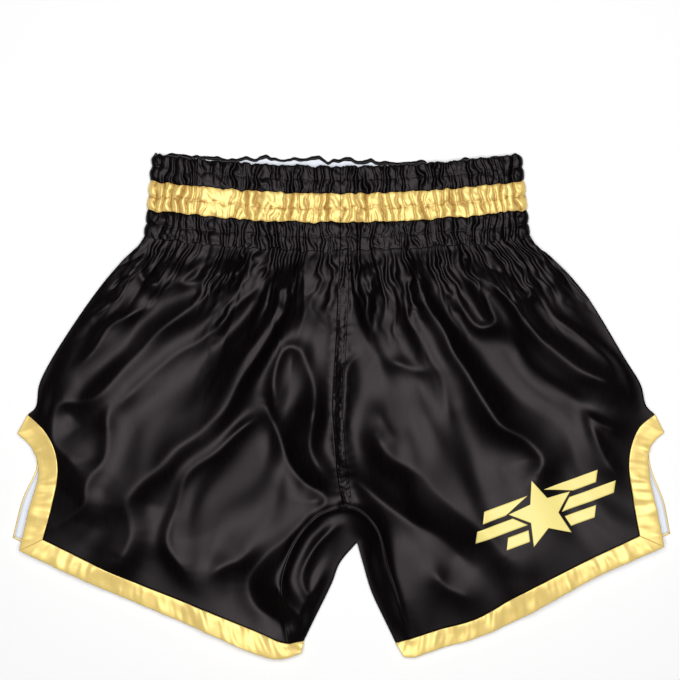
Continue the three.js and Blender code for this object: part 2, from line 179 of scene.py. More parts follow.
# ---------------------------------------------------------------- the lie of the cloth
# A fold is its crest's route from the waist down, its height, and how wide its left and right
# flanks are, seen along that route. All in millimetres.
FOLDS = [
    # the wearer's right leg
    ([(-176, 140), (-187, 118), (-190, 102), (-222, 78), (-240, 64), (-258, 30), (-262, 18)], 3.7, 9, 8),
    ([(-158, 95), (-178, 84), (-205, 68), (-224, 42), (-255, 24)], 3.3, 8, 8),
    ([(-168, 140), (-178, 112), (-166, 106), (-152, 118), (-140, 138)], 3.3, 7, 7),
    ([(-122, 140), (-133, 120), (-141, 106), (-128, 108), (-112, 122), (-104, 138)], 3.3, 7, 7),
    ([(-90, 140), (-92, 125), (-103, 110), (-140, 82), (-175, 50), (-205, 18), (-228, 3), (-250, 0),
      (-258, -30), (-242, -50), (-231, -68), (-228, -82)], 5.2, 14, 16),
    ([(-74, 135), (-73, 110), (-95, 83), (-120, 60), (-160, 33), (-195, 2), (-210, -12)], 3.1, 9, 8),
    ([(-202, 12), (-208, -14), (-210, -50), (-227, -72), (-230, -92), (-258, -110),
      (-288, -124)], 3.9, 12, 12),
    ([(-66, 125), (-62, 110), (-49, 85), (-58, 72), (-82, 38), (-102, -2), (-130, -28), (-165, -58),
      (-188, -85), (-187, -118), (-199, -144), (-212, -166)], 7.6, 14, 25),
    ([(-60, -5), (-95, -28), (-125, -55), (-140, -72), (-149, -100), (-154, -126),
      (-140, -150), (-124, -172)], 4.6, 15, 9),
    ([(-60, -20), (-58, 30), (-45, 50), (-34, 46), (-26, 22), (-25, -10), (-33, -40)], 4.2, 10, 10),
    ([(-27, 14), (-25, -12), (-26, -40), (-17, -62), (-4, -82)], 6.4, 10, 15),
    ([(-66, 100), (-45, 98), (-28, 96), (-10, 102)], 4.5, 18, 22),
    ([(-3, -86), (-15, -95), (-42, -122), (-56, -158), (-46, -180), (-34, -196), (-37, -236)], 7.0, 10, 17),
    ([(8, -107), (-8, -114), (-28, -134), (-35, -158), (-30, -171), (-16, -156), (-4, -145)], 3.7, 7, 7),
    ([(-124, -160), (-105, -145), (-90, -139), (-68, -118)], 3.6, 14, 14),
    ([(-70, 14), (-62, -14), (-50, -46), (-32, -70), (-13, -86), (-20, -99), (-42, -117), (-66, -138),
      (-84, -158), (-76, -182), (-48, -198), (-30, -206)], -4.4, 12, 11),
    # the wearer's left leg
    ([(-14, -52), (8, -66), (32, -84), (62, -106), (93, -126), (128, -158)], -4.2, 12, 14),
    ([(140, 76), (160, 48), (182, 22), (208, 4), (238, -8)], -3.0, 13, 14),
    ([(32, 140), (28, 120), (24, 90), (22, 76), (35, 53)], 3.7, 8, 8),
    ([(25, 48), (8, 34), (3, 15), (2, -30), (3, -80)], 3.7, 12, 6),
    ([(35, 40), (60, 33), (85, 27)], 2.7, 9, 9),
    ([(52, 122), (54, 100), (65, 68), (88, 28), (92, 0), (105, -40)], 4.0, 12, 13),
    ([(68, 140), (68, 120), (80, 85), (100, 50), (120, 15), (140, -18), (168, -36), (179, -50),
      (174, -66), (162, -84)], 7.6, 13, 11),
    ([(95, 122), (98, 100), (108, 84), (124, 66), (135, 71), (128, 90), (115, 112), (108, 132)], 4.0, 8, 8),
    ([(120, 127), (135, 105), (155, 88), (182, 53), (215, 28), (265, 10)], 6.8, 14, 13),
    ([(140, 120), (155, 102), (168, 93), (172, 100), (160, 120), (150, 137)], 3.9, 7, 7),
    ([(178, 95), (195, 75), (235, 45), (265, 15)], 3.7, 9, 9),
    ([(158, 140), (180, 127), (190, 110), (182, 95)], 3.7, 8, 8),
    ([(213, -3), (225, -15), (255, -32)], 3.7, 8, 8),
    ([(215, -8), (222, -22), (230, -40), (250, -75)], 3.7, 9, 9),
    ([(26, 2), (45, -25), (60, -42)], 3.7, 16, 16),
    ([(22, -6), (42, -42), (68, -64), (98, -92), (128, -114), (152, -142), (172, -160)], 7.2, 40, 19),
    ([(5, -92), (18, -95), (32, -113), (42, -150), (52, -190), (50, -214)], 6.0, 14, 12),
    ([(78, -140), (95, -163), (128, -178)], 3.7, 14, 14),
]
FIELD_LOW = np.array([-312.0, -246.0])
FIELD_HIGH = np.array([312.0, 246.0])
FIELD_STEP = 1.0
FOLD_RADIUS = 3.1     # the band's fold at each side
FOLD_CENTRE_Z = 3.9
BAND_CROWN = 4.2      # how far the band's front stands above that in the open
BAND_CROWN_RUN = 34
TOP_ROLL = 1.2        # radius of the roll at the band's top
TOP_HEM = 4.4         # cloth from there down the inside
BACK_SCALLOP = 3.4    # how far the top edge of the back rises and dips between the gathers
BAND_BLEND = 26       # the front reaches the band's height over this length
SHELL_LIFT = 1.1      # the shell's face over the height of the front
SEAM_Z = 3.2          # the front's height over a closed seam
CROWN = 6.6           # how far it stands above that in the open
CROWN_RUN = 64.0
FRONT_FLOOR = 2.9     # the deepest valleys stay above the back's layers
FRONT_CEILING = 23.6  # the tallest folds flatten out under their own weight
FAN_X = 40.0          # the drape's lines fan out from this far past the centre
FAN_Y = 250.0         # and from this far up
FAN_RADIUS = 230.0
DRAPE_LIFT = 2.4
GUSSET_RIDGE = 2.0    # how far the gusset's seam stands up
FOLD_SCALE = 1.45     # heights and widths of the folds, over those in the table
FOLD_SPREAD = 1.2
FOLD_REACH = 3.1      # a fold's flanks end this many widths from its crest
FLANK_FOOT = 0.03     # what is left of them there
FADE_SHARE = 0.33     # the most of a fold's length that fades out at an end
FOLD_FADE = 36.0      # a fold rises and dies away over this length at its ends
RIB_PITCH = 7.4       # from one crease of the gathers to the next
RIB_LIFT = 2.8        # how far the ribs stand above the creases
EDGE_SHARE = 0.85     # of that, at a stitch row
BAND_SOFTNESS = 0.4   # the band's creases are neither cracks nor broad valleys
SOFTENED = 15.0       # they are broad valleys this far below it
CREASE_SHADE_EDGE = 1.3     # how quickly the shade painted in a crease fades out to its ribs
MERGED_LIFT = 1.8     # how far the broader ribs stand out that they merge into
TUCK = 0.95           # how far the shell dips under the band
TUCK_RUN = 3.0        # and over what length
NOISE_ROWS = 96
NOISE_COLUMNS = 256
SEAM_WIDTH = 9.5
FELL_ROLL = 0.45      # how far the fell's folded cloth stands up between its edges
FELL_SINK = 0.38      # how far its stitch rows pull it down
FELL_PUCKER = 0.3     # and how far they pucker it
FELL_ROWS = (0.16, 0.84)    # where the fell's two stitch rows lie across it
VENT_LENGTH = 118
HEM_LENGTH = 262
TRIM_WIDTH = 20
VENT_SPREAD = 7.6     # how far the back hem corner shows outside the front one
HEM_RISE = 10.5       # how far the back hem lies above the front one at the vent
SHIFT_FROM_X = 62     # both start this far out from the middle
SHIFT_RUN_X = 205     # and are full this much further out
SHIFT_FROM_Y = -25    # they start at this height
SHIFT_RUN_Y = 85      # and are full this far below it
RISE_X = -38          # the back of the waist shows most here
RISE_WIDTH = 84
PANEL_SIZE = (240, 300)     # about, for the number of mesh cells
LINING_SIZE = (250, 330)
LINING_INSET = 3.2    # the linings stop short of the inseam's fold
TRIM_SETTLED = 14.0   # the ripples die away over this length at the corner where two bindings meet
TRIM_RIPPLE = 1.7     # how far a binding's ripples stand out


def smoothstep(t):
    t = np.clip(t, 0, 1)
    return t * t * (3 - 2 * t)


def distance_to(chain, x, y):
    """How far points lie from a chain."""
    nearest = np.full(x.shape, 1e9)
    for (ax, ay), (bx, by) in zip(chain[:-1], chain[1:]):
        dx, dy = bx - ax, by - ay
        length = math.hypot(dx, dy)
        t = np.clip(((x - ax) * dx + (y - ay) * dy) / (length * length), 0, 1)
        nearest = np.minimum(nearest, np.hypot(x - ax - t * dx, y - ay - t * dy))
    return nearest


def wrinkles(x, y, cell_x, cell_y, seed):
    """Smooth gradient noise, about -1 to 1, with cells of these millimetres."""
    turns = np.random.RandomState(seed).uniform(0, 2 * math.pi, (NOISE_ROWS, NOISE_COLUMNS))
    gx = x / cell_x + NOISE_COLUMNS / 2 + 0.37
    gy = y / cell_y + NOISE_ROWS / 2 + 0.41
    ix, iy = np.floor(gx).astype(int), np.floor(gy).astype(int)
    tx, ty = gx - ix, gy - iy

    def corner(step_x, step_y):
        turn = turns[(iy + step_y) % NOISE_ROWS, (ix + step_x) % NOISE_COLUMNS]
        return np.cos(turn) * (tx - step_x) + np.sin(turn) * (ty - step_y)

    sx, sy = smoothstep(tx), smoothstep(ty)
    low = corner(0, 0) * (1 - sx) + corner(1, 0) * sx
    high = corner(0, 1) * (1 - sx) + corner(1, 1) * sx
    return 1.7 * (low * (1 - sy) + high * sy)


def rib_phase(across, h):
    """Which rib of the gathers a point is on: whole numbers are the creases between them."""
    bent = across + 3.4 * wrinkles(across, h, 15, 24, 46) + 1.9 * wrinkles(across, h, 7, 9, 49)
    return bent / RIB_PITCH + 0.9 * wrinkles(across, 0.2 * h, 30, 60, 50)


def rib_crease(across, h, softness=0.0):
    """How deep a point is in a crease of the gathers, from 0 to 1. Soft ones are broad valleys."""
    phase = rib_phase(across, h)
    depth = np.clip(0.62 + 0.75 * wrinkles(phase * RIB_PITCH, h, 8, 40, 51), 0.15, 1)
    sharpness = 0.45 + 0.85 * softness
    main = depth * (1 - np.abs(np.sin(math.pi * phase)) ** sharpness)
    fine = np.clip(0.3 + 0.9 * wrinkles(across, h, 13, 22, 52), 0, 0.7) * (1 - softness)
    return np.maximum(main, fine * (1 - np.abs(np.sin(math.pi * (2.1 * phase + 0.3))) ** sharpness))


def stitch_row_shade(across, h):
    """Painted shade along the band's stitch rows, where they pull the cloth into tucks, from 0 to 1."""
    row = np.abs(h / CHANNEL - np.round(h / CHANNEL)) * CHANNEL
    return np.exp(-(row / 2.2) ** 2) * np.clip(0.45 + 1.5 * wrinkles(across, h, 3.6, 4, 55), 0, 1)


def below_band(x, y):
    """How far pattern points lie below the band, and across it before the cloth flares out."""
    drop = np.maximum(band_bottom(x) - y, 0)
    flare = (1 + BAND_FLARE / BAND_HALF) * (1 + 0.004 * drop)
    return drop, (x - BAND_CENTRE_X) / flare + BAND_CENTRE_X - CENTRE_SEAM[-1][0]


def softened(drop):
    """The band's narrow creases open into broad valleys below it."""
    return BAND_SOFTNESS + (1 - BAND_SOFTNESS) * smoothstep(drop / SOFTENED)


def rib_share(drop, across):
    """How much is left of the band's ribs at a drop below it; some run on much further."""
    fade = np.maximum(38 + 26 * wrinkles(across, 0 * drop, 12, 30, 12), 12)
    return np.exp(-(drop / fade) ** 2)


def gathers(x, y):
    """The gathered cloth under the band: its ribs fan out, merge and fade as they run down."""
    drop, across = below_band(x, y)
    near = (EDGE_SHARE + 0.5 * smoothstep(drop / 9)) * rib_share(drop, across)
    wandering = across + 4 * wrinkles(x, y, 30, 40, 14)
    reach = np.maximum(50 + 40 * wrinkles(across, 0 * y, 19, 30, 16), 28)
    grown = smoothstep(drop / 24) * np.exp(-(drop / reach) ** 2)
    merged = np.abs(np.sin(math.pi * (wandering / 16 + 0.9 * wrinkles(across, 0 * y, 40, 60, 13)))) ** 0.8
    ribs = 1 - rib_crease(across, -drop, softened(drop))
    return 0.2 + RIB_LIFT * near * ribs + MERGED_LIFT * grown * merged


# Painted shade in the creases of the gathers below the band, from 0 to 1: it fades as they open into broad
# valleys and as the ribs die away.
def gathered_crease_shade(x, y):
    drop, across = below_band(x, y)
    soft = softened(drop)
    return rib_crease(across, -drop, soft) ** CREASE_SHADE_EDGE * rib_share(drop, across) * (1 - 0.6 * soft)


def seam_pucker(x, y):
    """The stitch rows of the centre seam pucker the cloth on both sides of it."""
    chain = LEGS["left"]["centre"]
    past = x - np.interp(y, chain[:, 1], chain[:, 0])
    beside = np.exp(-(np.maximum(np.abs(past - SEAM_WIDTH / 2) - SEAM_WIDTH / 2, 0) / 6) ** 2)
    pucker = wrinkles(x, y, 8, 4.2, 17) + 0.8 * wrinkles(x, y, 12, 9, 18)
    return 0.3 * pucker * beside * smoothstep((y + 96) / 16)


def blur(field, steps):
    """Softens the field by a few passes of a 1-2-1 kernel each way."""
    for _ in range(steps):
        field = np.pad(field, 1, mode="edge")
        field = (field[:-2] + 2 * field[1:-1] + field[2:]) / 4
        field = (field[:, :-2] + 2 * field[:, 1:-1] + field[:, 2:]) / 4
    return field


def closed_edges():
    """The edges where front and back are joined: side seams, the band's ends and the inseams."""
    edges = []
    for who, side in SIDES.items():
        top = LEGS[who]["side_seam"][-1] + (-2 * BAND_FLARE * side, BAND_HEIGHT + 20)
        edges.append(np.vstack([LEGS[who]["side_seam"][::8], [top]]))
        edges.append(LEGS[who]["inseam"][::8])
    return edges


def add_fold(field, x, y, route, height, left, right):
    """Adds one fold's crest and flanks; both its ends fade out."""
    chain = spline(route, 48)
    steps = np.diff(chain, axis=0)
    lengths = np.linalg.norm(steps, axis=1)
    total = lengths.sum()
    fade = min(FOLD_FADE, total * FADE_SHARE)
    reach = FOLD_REACH * FOLD_SPREAD * max(left, right)
    low, high = chain.min(axis=0) - reach, chain.max(axis=0) + reach
    window = np.where((x >= low[0]) & (x <= high[0]) & (y >= low[1]) & (y <= high[1]))
    px, py = x[window], y[window]
    crest = np.zeros(px.shape)
    start = 0.0
    for (ax, ay), (sx, sy), length in zip(chain, steps, lengths):
        t = np.clip(((px - ax) * sx + (py - ay) * sy) / length ** 2, 0, 1)
        off_x, off_y = px - ax - t * sx, py - ay - t * sy
        run = start + t * length
        leftness = smoothstep(0.5 + (sx * off_y - sy * off_x) / length / (left + right))
        width = FOLD_SPREAD * (right + (left - right) * leftness) * (0.5 + 0.7 * run / total)
        flank = np.exp(-(np.hypot(off_x, off_y) / width) ** 1.35) - FLANK_FOOT
        crest = np.maximum(crest, flank * smoothstep(run / fade) * smoothstep((total - run) / fade))
        start += length
    field[window] += height * crest


def drape(x, y):
    """The long soft lines that fan out from the waist over each leg, between the larger folds."""
    lift = np.zeros(x.shape)
    for side in SIDES.values():
        outward = side * x + FAN_X
        down = FAN_Y - y
        angle = np.arctan2(outward, down) * FAN_RADIUS
        radius = np.hypot(outward, down)
        bent = angle + 9 * wrinkles(x, y, 60, 70, 61)
        broad = wrinkles(bent, radius, 30, 120, 62 + side)
        narrow = wrinkles(bent, radius, 15, 80, 65 + side)
        lift += (DRAPE_LIFT * broad + 1.1 * narrow) * smoothstep(0.5 + side * x / 30)
    return lift


def front_field():
    """The height of the front over the table, on an even grid."""
    size = ((FIELD_HIGH - FIELD_LOW) / FIELD_STEP).astype(int) + 1
    x, y = np.meshgrid(np.linspace(FIELD_LOW[0], FIELD_HIGH[0], size[0]),
                       np.linspace(FIELD_LOW[1], FIELD_HIGH[1], size[1]))
    edge = np.full(x.shape, 1e9)
    for chain in closed_edges():
        edge = np.minimum(edge, distance_to(chain, x, y))
    base = SEAM_Z + CROWN * smoothstep(0.12 + edge / CROWN_RUN)
    folds = np.zeros(x.shape)
    warped_x = x + 2.5 * wrinkles(x, y, 34, 40, 51)
    warped_y = y + 2.5 * wrinkles(x, y, 38, 30, 52)
    for route, height, left, right in FOLDS:
        add_fold(folds, warped_x, warped_y, route, height, left, right)
    folds *= 1 + 0.25 * wrinkles(x, y, 45, 45, 53)
    folds += drape(x, y)
    shown = smoothstep(edge / 16) * (1 - smoothstep((y - band_bottom(x) + 16) / 16))
    lifted = FOLD_SCALE * blur(folds, 3) * shown
    for who in SIDES:
        seam = distance_to(LEGS[who]["gusset_edge"][::4], x, y)
        lifted += GUSSET_RIDGE * np.exp(-(seam / 3.5) ** 2) * smoothstep(edge / 25)
    band = FOLD_CENTRE_Z + FOLD_RADIUS + BAND_CROWN * smoothstep((BAND_HALF - np.abs(x)) / BAND_CROWN_RUN)
    joined = smoothstep((y - band_bottom(x) + BAND_BLEND) / BAND_BLEND)
    front = (base + lifted) * (1 - joined) + (band - SHELL_LIFT) * joined
    front = (front + FRONT_CEILING - np.sqrt((front - FRONT_CEILING) ** 2 + 3.0)) / 2
    return (front + FRONT_FLOOR + np.sqrt((front - FRONT_FLOOR) ** 2 + 0.6)) / 2


FIELD = front_field()


def front_height(x, y):
    """The front's height at pattern points, in millimetres."""
    gx = np.clip((x - FIELD_LOW[0]) / FIELD_STEP, 0, FIELD.shape[1] - 1.001)
    gy = np.clip((y - FIELD_LOW[1]) / FIELD_STEP, 0, FIELD.shape[0] - 1.001)
    ix, iy = gx.astype(int), gy.astype(int)
    tx, ty = gx - ix, gy - iy
    low = FIELD[iy, ix] * (1 - tx) + FIELD[iy, ix + 1] * tx
    high = FIELD[iy + 1, ix] * (1 - tx) + FIELD[iy + 1, ix + 1] * tx
    return low * (1 - ty) + high * ty


# ---------------------------------------------------------------- sheets of cloth
TABLE_GAP = 0.35      # the back layer's underside over the table
LAYER_STEP = 0.85     # from one back layer to the next
LINING_DROP = 1.4     # the front lining under the front shell
TRIM_THICKNESS = 0.6
FELL_THICKNESS = 0.4
FELL_PITCH = 0.9
GUSSET_PITCH = 1.2
GUSSET_RADIUS = 1.6   # of its fold, along the inside of the legs
FLAT_SHARE = 0.44     # of the gusset's width on each side of that fold
THREAD_RADIUS = 0.13
STITCH = 3.4          # a stitch and its gap; the finest that shows
TRIM_ROW = 0.9        # where a binding's row lies across it
GOLD_ROWS = (2, 3)    # the channels with gold rows at their lower edge
THREAD_STEPS = 4      # mesh steps along each stitch
THREAD_SIDES = 5
WELD = 0.00002        # metres


def deselect_all():
    bpy.ops.object.select_all(action="DESELECT")


def grid(name, cells_u, cells_v):
    """Adds a grid at the origin and returns it with its vertices' u and v, from 0 to 1."""
    deselect_all()
    bpy.ops.mesh.primitive_grid_add(x_subdivisions=cells_u, y_subdivisions=cells_v, size=2)
    piece = bpy.context.object
    piece.name = name
    piece.data.name = name
    flat = np.empty(len(piece.data.vertices) * 3)
    piece.data.vertices.foreach_get("co", flat)
    flat = flat.reshape(-1, 3)
    return piece, (flat[:, 0] + 1) / 2, (flat[:, 1] + 1) / 2


def set_weave(piece, along, across):
    """Writes the cloth's own metres, along and across its warp, to the piece's UV map."""
    mesh = piece.data
    corner = np.empty(len(mesh.loops), int)
    mesh.loops.foreach_get("vertex_index", corner)
    weave = np.stack([across[corner], along[corner]], axis=1) * MM
    mesh.uv_layers[0].name = "Weave"
    mesh.uv_layers[0].data.foreach_set("uv", weave.ravel())


def place_vertices(piece, points):
    """Puts the vertices at pattern points, in the frame's metres."""
    placed = points.copy()
    placed[:, :2] += OFFSET
    piece.data.vertices.foreach_set("co", (placed * MM).ravel())
    piece.data.update()


def give_thickness(piece, thickness):
    """Makes a sheet a closed cloth of its thickness, measured down from its face."""
    solid = piece.modifiers.new("Thickness", "SOLIDIFY")
    solid.thickness = thickness * MM
    solid.offset = -1
    deselect_all()
    piece.select_set(True)
    bpy.context.view_layer.objects.active = piece
    bpy.ops.object.modifier_apply(modifier=solid.name)
    bpy.ops.object.shade_smooth()


def cloth(name, cells, place, thickness, material, crease=None):
    """One sheet: place(u, v) gives its points and its weave's along and across, in millimetres; crease(u, v)
    how deep each vertex is in a crease, which sets how dark the shade painted there is."""
    piece, u, v = grid(name, *cells)
    points, along, across = place(u, v)
    place_vertices(piece, points)
    set_weave(piece, along, across)
    if crease is not None:
        # The crease depth is kept on the mesh so that the material can paint shade in the creases.
        depth = piece.data.attributes.new("crease_shade", "FLOAT", "POINT")
        depth.data.foreach_set("value", crease(u, v))
    give_thickness(piece, thickness)
    piece.data.materials.append(material)
    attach(piece, "root")
    return piece


def towards_plus_x(side, u):
    """u runs towards +X on both legs, so that every sheet's face points up."""
    return 1 - u if side > 0 else u


def cells_for(width, height, pitch):
    return max(2, round(width / pitch)), max(2, round(height / pitch))


def back_shift(points):
    """The back lies out of line with the front: wider at the hem corners, and higher."""
    x, y = points[:, 0], points[:, 1]
    outward = np.clip((np.abs(x) - SHIFT_FROM_X) / SHIFT_RUN_X, 0, 1)
    down = smoothstep((SHIFT_FROM_Y - y) / SHIFT_RUN_Y)
    up = smoothstep((y - 60) / 76)
    shifted = points.copy()
    shifted[:, 0] += np.sign(x) * VENT_SPREAD * outward * down
    shifted[:, 1] += HEM_RISE * outward * down + waist_rise(x) * up
    return shifted


def waist_rise(x):
    """How far the back of the waist shows above the front."""
    return BACK_RISE * np.exp(-((x - RISE_X) / RISE_WIDTH) ** 2)


def back_height(x, y):
    return TABLE_GAP + 0.35 * (1 + wrinkles(x, y, 26, 31, 21))


def panel_surface(chains):
    rows_low = resample(chains["vent_inner"], 60)
    rows_high = resample(chains["side_seam"], 100)
    start = np.vstack([rows_low, rows_high[1:]])
    end = np.vstack([resample(chains["gusset_edge"], 60), resample(chains["centre"], 100)[1:]])
    return four_sided(chains["hem_inner"], chains["waist"], start, end)


def front_face(x, y):
    """The front shell's face: its lie, its gathers, and the pucker of the seams beside it."""
    return front_height(x, y) + SHELL_LIFT + gathers(x, y) + seam_pucker(x, y)


def front_panel(who, pitch, thickness, material):
    chains = LEGS[who]
    surface = panel_surface(chains)

    def place(u, v):
        xy = surface(towards_plus_x(SIDES[who], u), v)
        xy[:, 1] += 4.5 * smoothstep((v - 0.97) / 0.03)
        tucked = TUCK * smoothstep((xy[:, 1] - band_bottom(xy[:, 0]) - 0.5) / TUCK_RUN)
        z = front_face(xy[:, 0], xy[:, 1]) - tucked
        return np.column_stack([xy, z]), xy[:, 1], xy[:, 0]

    def crease(u, v):
        # Painted shade: how dark the gathers' creases below the band are painted.
        xy = surface(towards_plus_x(SIDES[who], u), v)
        return gathered_crease_shade(xy[:, 0], xy[:, 1])

    return cloth(f"front_shell_{who}", cells_for(*PANEL_SIZE, pitch), place, thickness, material,
                 crease)


def fell_points(u, v):
    """Points of the felled strip: u across it and v up the centre seam."""
    chain = LEGS["left"]["centre"]
    xy = point_on(chain, v)
    across = SEAM_WIDTH * (u - 0.5) * (0.6 + 0.4 * smoothstep(v / 0.07)) + SEAM_WIDTH / 2 - 0.4
    xy[:, 0] += across + 0.35 * wrinkles(v * 200, u, 7, 3, 19)
    xy[:, 1] += 2.5 * smoothstep((v - 0.97) / 0.03)
    tucked = TUCK * smoothstep((xy[:, 1] - band_bottom(xy[:, 0]) - 0.5) / TUCK_RUN)
    rolled = FELL_ROLL * (1 - (2 * u - 1) ** 6)
    stitched = FELL_SINK * sum(np.exp(-((u - row) / 0.09) ** 2) for row in FELL_ROWS)
    puckered = FELL_PUCKER * wrinkles(v * 230, u * SEAM_WIDTH, 2.3, 2.6, 57)
    height = front_face(xy[:, 0], xy[:, 1]) + 0.2 + rolled - stitched + puckered
    return np.column_stack([xy, height - tucked])


def centre_fell(pitch, thickness, material):
    """The folded strip of cloth that the two legs' centre seam is felled with."""
    def place(u, v):
        points = fell_points(u, v)
        return points, points[:, 1], points[:, 0]

    cells = cells_for(SEAM_WIDTH, 200, pitch)
    return cloth("centre_seam_fell", (max(cells[0], 12), cells[1]), place, thickness, material)


def thread(name, route, stitch, material):
    """A row of lockstitch: one thread that comes up for each stitch and dips under the cloth.
    route(u) gives points on the cloth's face, and stitch the length of a stitch and its gap."""
    steps = np.diff(route(np.linspace(0, 1, 200)), axis=0)
    length = np.linalg.norm(steps[:, :2], axis=1).sum()
    stitches = max(2, round(length / stitch))
    piece, u, v = grid(name, stitches * THREAD_STEPS, THREAD_SIDES)
    ahead = route(np.clip(u + 0.002, 0, 1)) - route(np.clip(u - 0.002, 0, 1))
    ahead = ahead[:, :2] / np.linalg.norm(ahead[:, :2], axis=1)[:, None]
    radius = THREAD_RADIUS * np.minimum(1, np.minimum(u, 1 - u) * stitches * THREAD_STEPS)
    aside = radius * np.cos(2 * np.pi * v)
    points = route(u)
    points[:, 0] -= ahead[:, 1] * aside
    points[:, 1] += ahead[:, 0] * aside
    points[:, 2] += 0.32 * np.abs(np.sin(np.pi * u * stitches)) ** 0.5 - 0.27 - radius * np.sin(2 * np.pi * v)
    place_vertices(piece, points)
    set_weave(piece, u * length, v * 0.5)
    piece.data.materials.append(material)
    weld(piece)
    bpy.ops.object.shade_smooth()
    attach(piece, "root")
    return piece


def weld(piece):
    """Joins the vertices that lie in one place, so that a wrapped grid closes."""
    deselect_all()
    piece.select_set(True)
    bpy.context.view_layer.objects.active = piece
    bpy.ops.object.mode_set(mode="EDIT")
    bpy.ops.mesh.select_all(action="SELECT")
    bpy.ops.mesh.remove_doubles(threshold=WELD)
    bpy.ops.object.mode_set(mode="OBJECT")


def back_panel(who, pitch, thickness, material):
    chains = LEGS[who]
    surface = panel_surface(chains)

    def place(u, v):
        xy = back_shift(surface(towards_plus_x(SIDES[who], u), v))
        z = back_height(xy[:, 0], xy[:, 1]) + thickness
        return np.column_stack([xy, z]), xy[:, 1], xy[:, 0]

    return cloth(f"back_shell_{who}", cells_for(*PANEL_SIZE, pitch), place, thickness, material)


def lining_surface(chains, inset):
    outward = chains["inseam"] - chains["gusset_edge"]
    outward /= np.linalg.norm(outward, axis=1)[:, None]
    inseam = resample(chains["inseam"] - inset * outward, 60)
    join = resample(np.vstack([inseam[-1], chains["centre"][0]]), 8)
    end = np.vstack([inseam, join[1:], resample(chains["centre"], 100)[1:]])
    corner = np.vstack([chains["vent_outer"][-1], chains["side_seam"][0]])
    start = np.vstack([resample(chains["vent_outer"], 60), resample(corner, 8)[1:],
                       resample(chains["side_seam"], 100)[1:]])
    hem_end = (chains["hem_end"] + inseam[0]) / 2
    end[0] = hem_end
    share = np.linspace(0, 1, len(chains["hem_outer"]))[:, None] ** 6
    hem = chains["hem_outer"] * (1 - share) + hem_end * share
    return four_sided(hem, chains["waist"], start, end)


def lining(who, front, pitch, thickness, material):
    surface = lining_surface(LEGS[who], LINING_INSET)

    def place(u, v):
        edge = 0.005
        xy = surface(edge + towards_plus_x(SIDES[who], u) * (1 - 2 * edge), edge + v * (1 - 2 * edge))
        if front:
            z = front_height(xy[:, 0], xy[:, 1]) - LINING_DROP
            z = np.maximum(z, TABLE_GAP + 2.2)
        else:
            xy = back_shift(xy)
            z = back_height(xy[:, 0], xy[:, 1]) + 0.8 + LAYER_STEP
        return np.column_stack([xy, z]), xy[:, 1], xy[:, 0]

    where = "front" if front else "back"
    return cloth(f"{where}_leg_lining_{who}", cells_for(*LINING_SIZE, pitch), place, thickness, material)


def trim_points(outer, inner, front, length, run, across, thickness):
    """Points of a binding: run along it and across it from its outer edge, both from 0 to 1."""
    xy = point_on(outer, run) * (1 - across)[:, None] + point_on(inner, run) * across[:, None]
    if not front:
        xy = back_shift(xy)
        return np.column_stack([xy, back_height(xy[:, 0], xy[:, 1]) + thickness + 0.3])
    puff = 0.5 * (1 - (2 * across - 1) ** 4)
    slanted = run * length + 0.7 * across * TRIM_WIDTH
    ripple = TRIM_RIPPLE * (wrinkles(slanted, across * TRIM_WIDTH, 17, 40, 31)
                            + 0.45 * wrinkles(slanted, across * TRIM_WIDTH, 6.5, 18, 32))
    ripple *= smoothstep(run * length / TRIM_SETTLED)
    return np.column_stack([xy, front_height(xy[:, 0], xy[:, 1]) + SHELL_LIFT + 0.3 + puff + ripple])


def trim(name, outer, inner, front, side, length, pitch, thickness, material, along_v):
    """A bias-cut strip between two chains; along_v says that it runs up and not across."""
    def place(u, v):
        turned = towards_plus_x(side, u)
        run, across = (v, turned) if along_v else (turned, v)
        points = trim_points(outer, inner, front, length, run, across, thickness)
        return points, run * length, across * TRIM_WIDTH

    along, across = round(length / pitch), round(TRIM_WIDTH / pitch)
    cells = (across, along) if along_v else (along, across)
    return cloth(name, cells, place, thickness, material)


def vent_edges(who):
    return LEGS[who]["vent_outer"], LEGS[who]["vent_inner"]


def hem_edges(who):
    chains = LEGS[who]
    upper = resample(np.vstack([chains["hem_inner"], chains["inseam"][0]]), 200)
    lower = resample(np.vstack([chains["hem_outer"], chains["hem_end"]]), 200)
    return lower, upper


def vent_trim(who, front, pitch, thickness, material):
    where = "front" if front else "back"
    return trim(f"{where}_vent_binding_{who}", *vent_edges(who), front, SIDES[who], VENT_LENGTH, pitch,
                thickness, material, True)


def hem_trim(who, front, pitch, thickness, material):
    where = "front" if front else "back"
    return trim(f"{where}_hem_binding_{who}", *hem_edges(who), front, SIDES[who], HEM_LENGTH, pitch,
                thickness, material, False)


def gusset(pitch, thickness, material):
    """The folded piece between the legs, from hem to hem."""
    edge = np.vstack([LEGS["right"]["gusset_edge"], LEGS["left"]["gusset_edge"][::-1][1:]])
    fold = np.vstack([LEGS["right"]["inseam"], LEGS["left"]["inseam"][::-1][1:]])
    back_z = TABLE_GAP + 0.4 + thickness

    def place(u, v):
        seam, inseam = point_on(edge, v), point_on(fold, v)
        outward = inseam - seam
        outward /= np.linalg.norm(outward, axis=1)[:, None]
        bend = inseam - GUSSET_RADIUS * outward
        flat = np.clip(u / FLAT_SHARE, 0, 1)[:, None]
        back = np.clip((u - 0.56) / 0.44, 0, 1)[:, None]
        angle = np.clip((u - 0.44) / 0.12, 0, 1) * math.pi
        front_xy = seam * (1 - flat) + bend * flat
        front_z = front_face(front_xy[:, 0], front_xy[:, 1])
        back_xy = bend * (1 - back) + seam * back
        on_back = (u > 0.56)[:, None]
        xy = np.where(on_back, back_xy, front_xy + GUSSET_RADIUS * np.sin(angle)[:, None] * outward)
        middle = (front_z + back_z) / 2
        z = middle + (front_z - back_z) / 2 * np.cos(angle)
        return np.column_stack([xy, z]), v * 260, u * 80

    return cloth("gusset_between_legs", (round(90 / pitch), round(280 / pitch)), place, thickness, material)


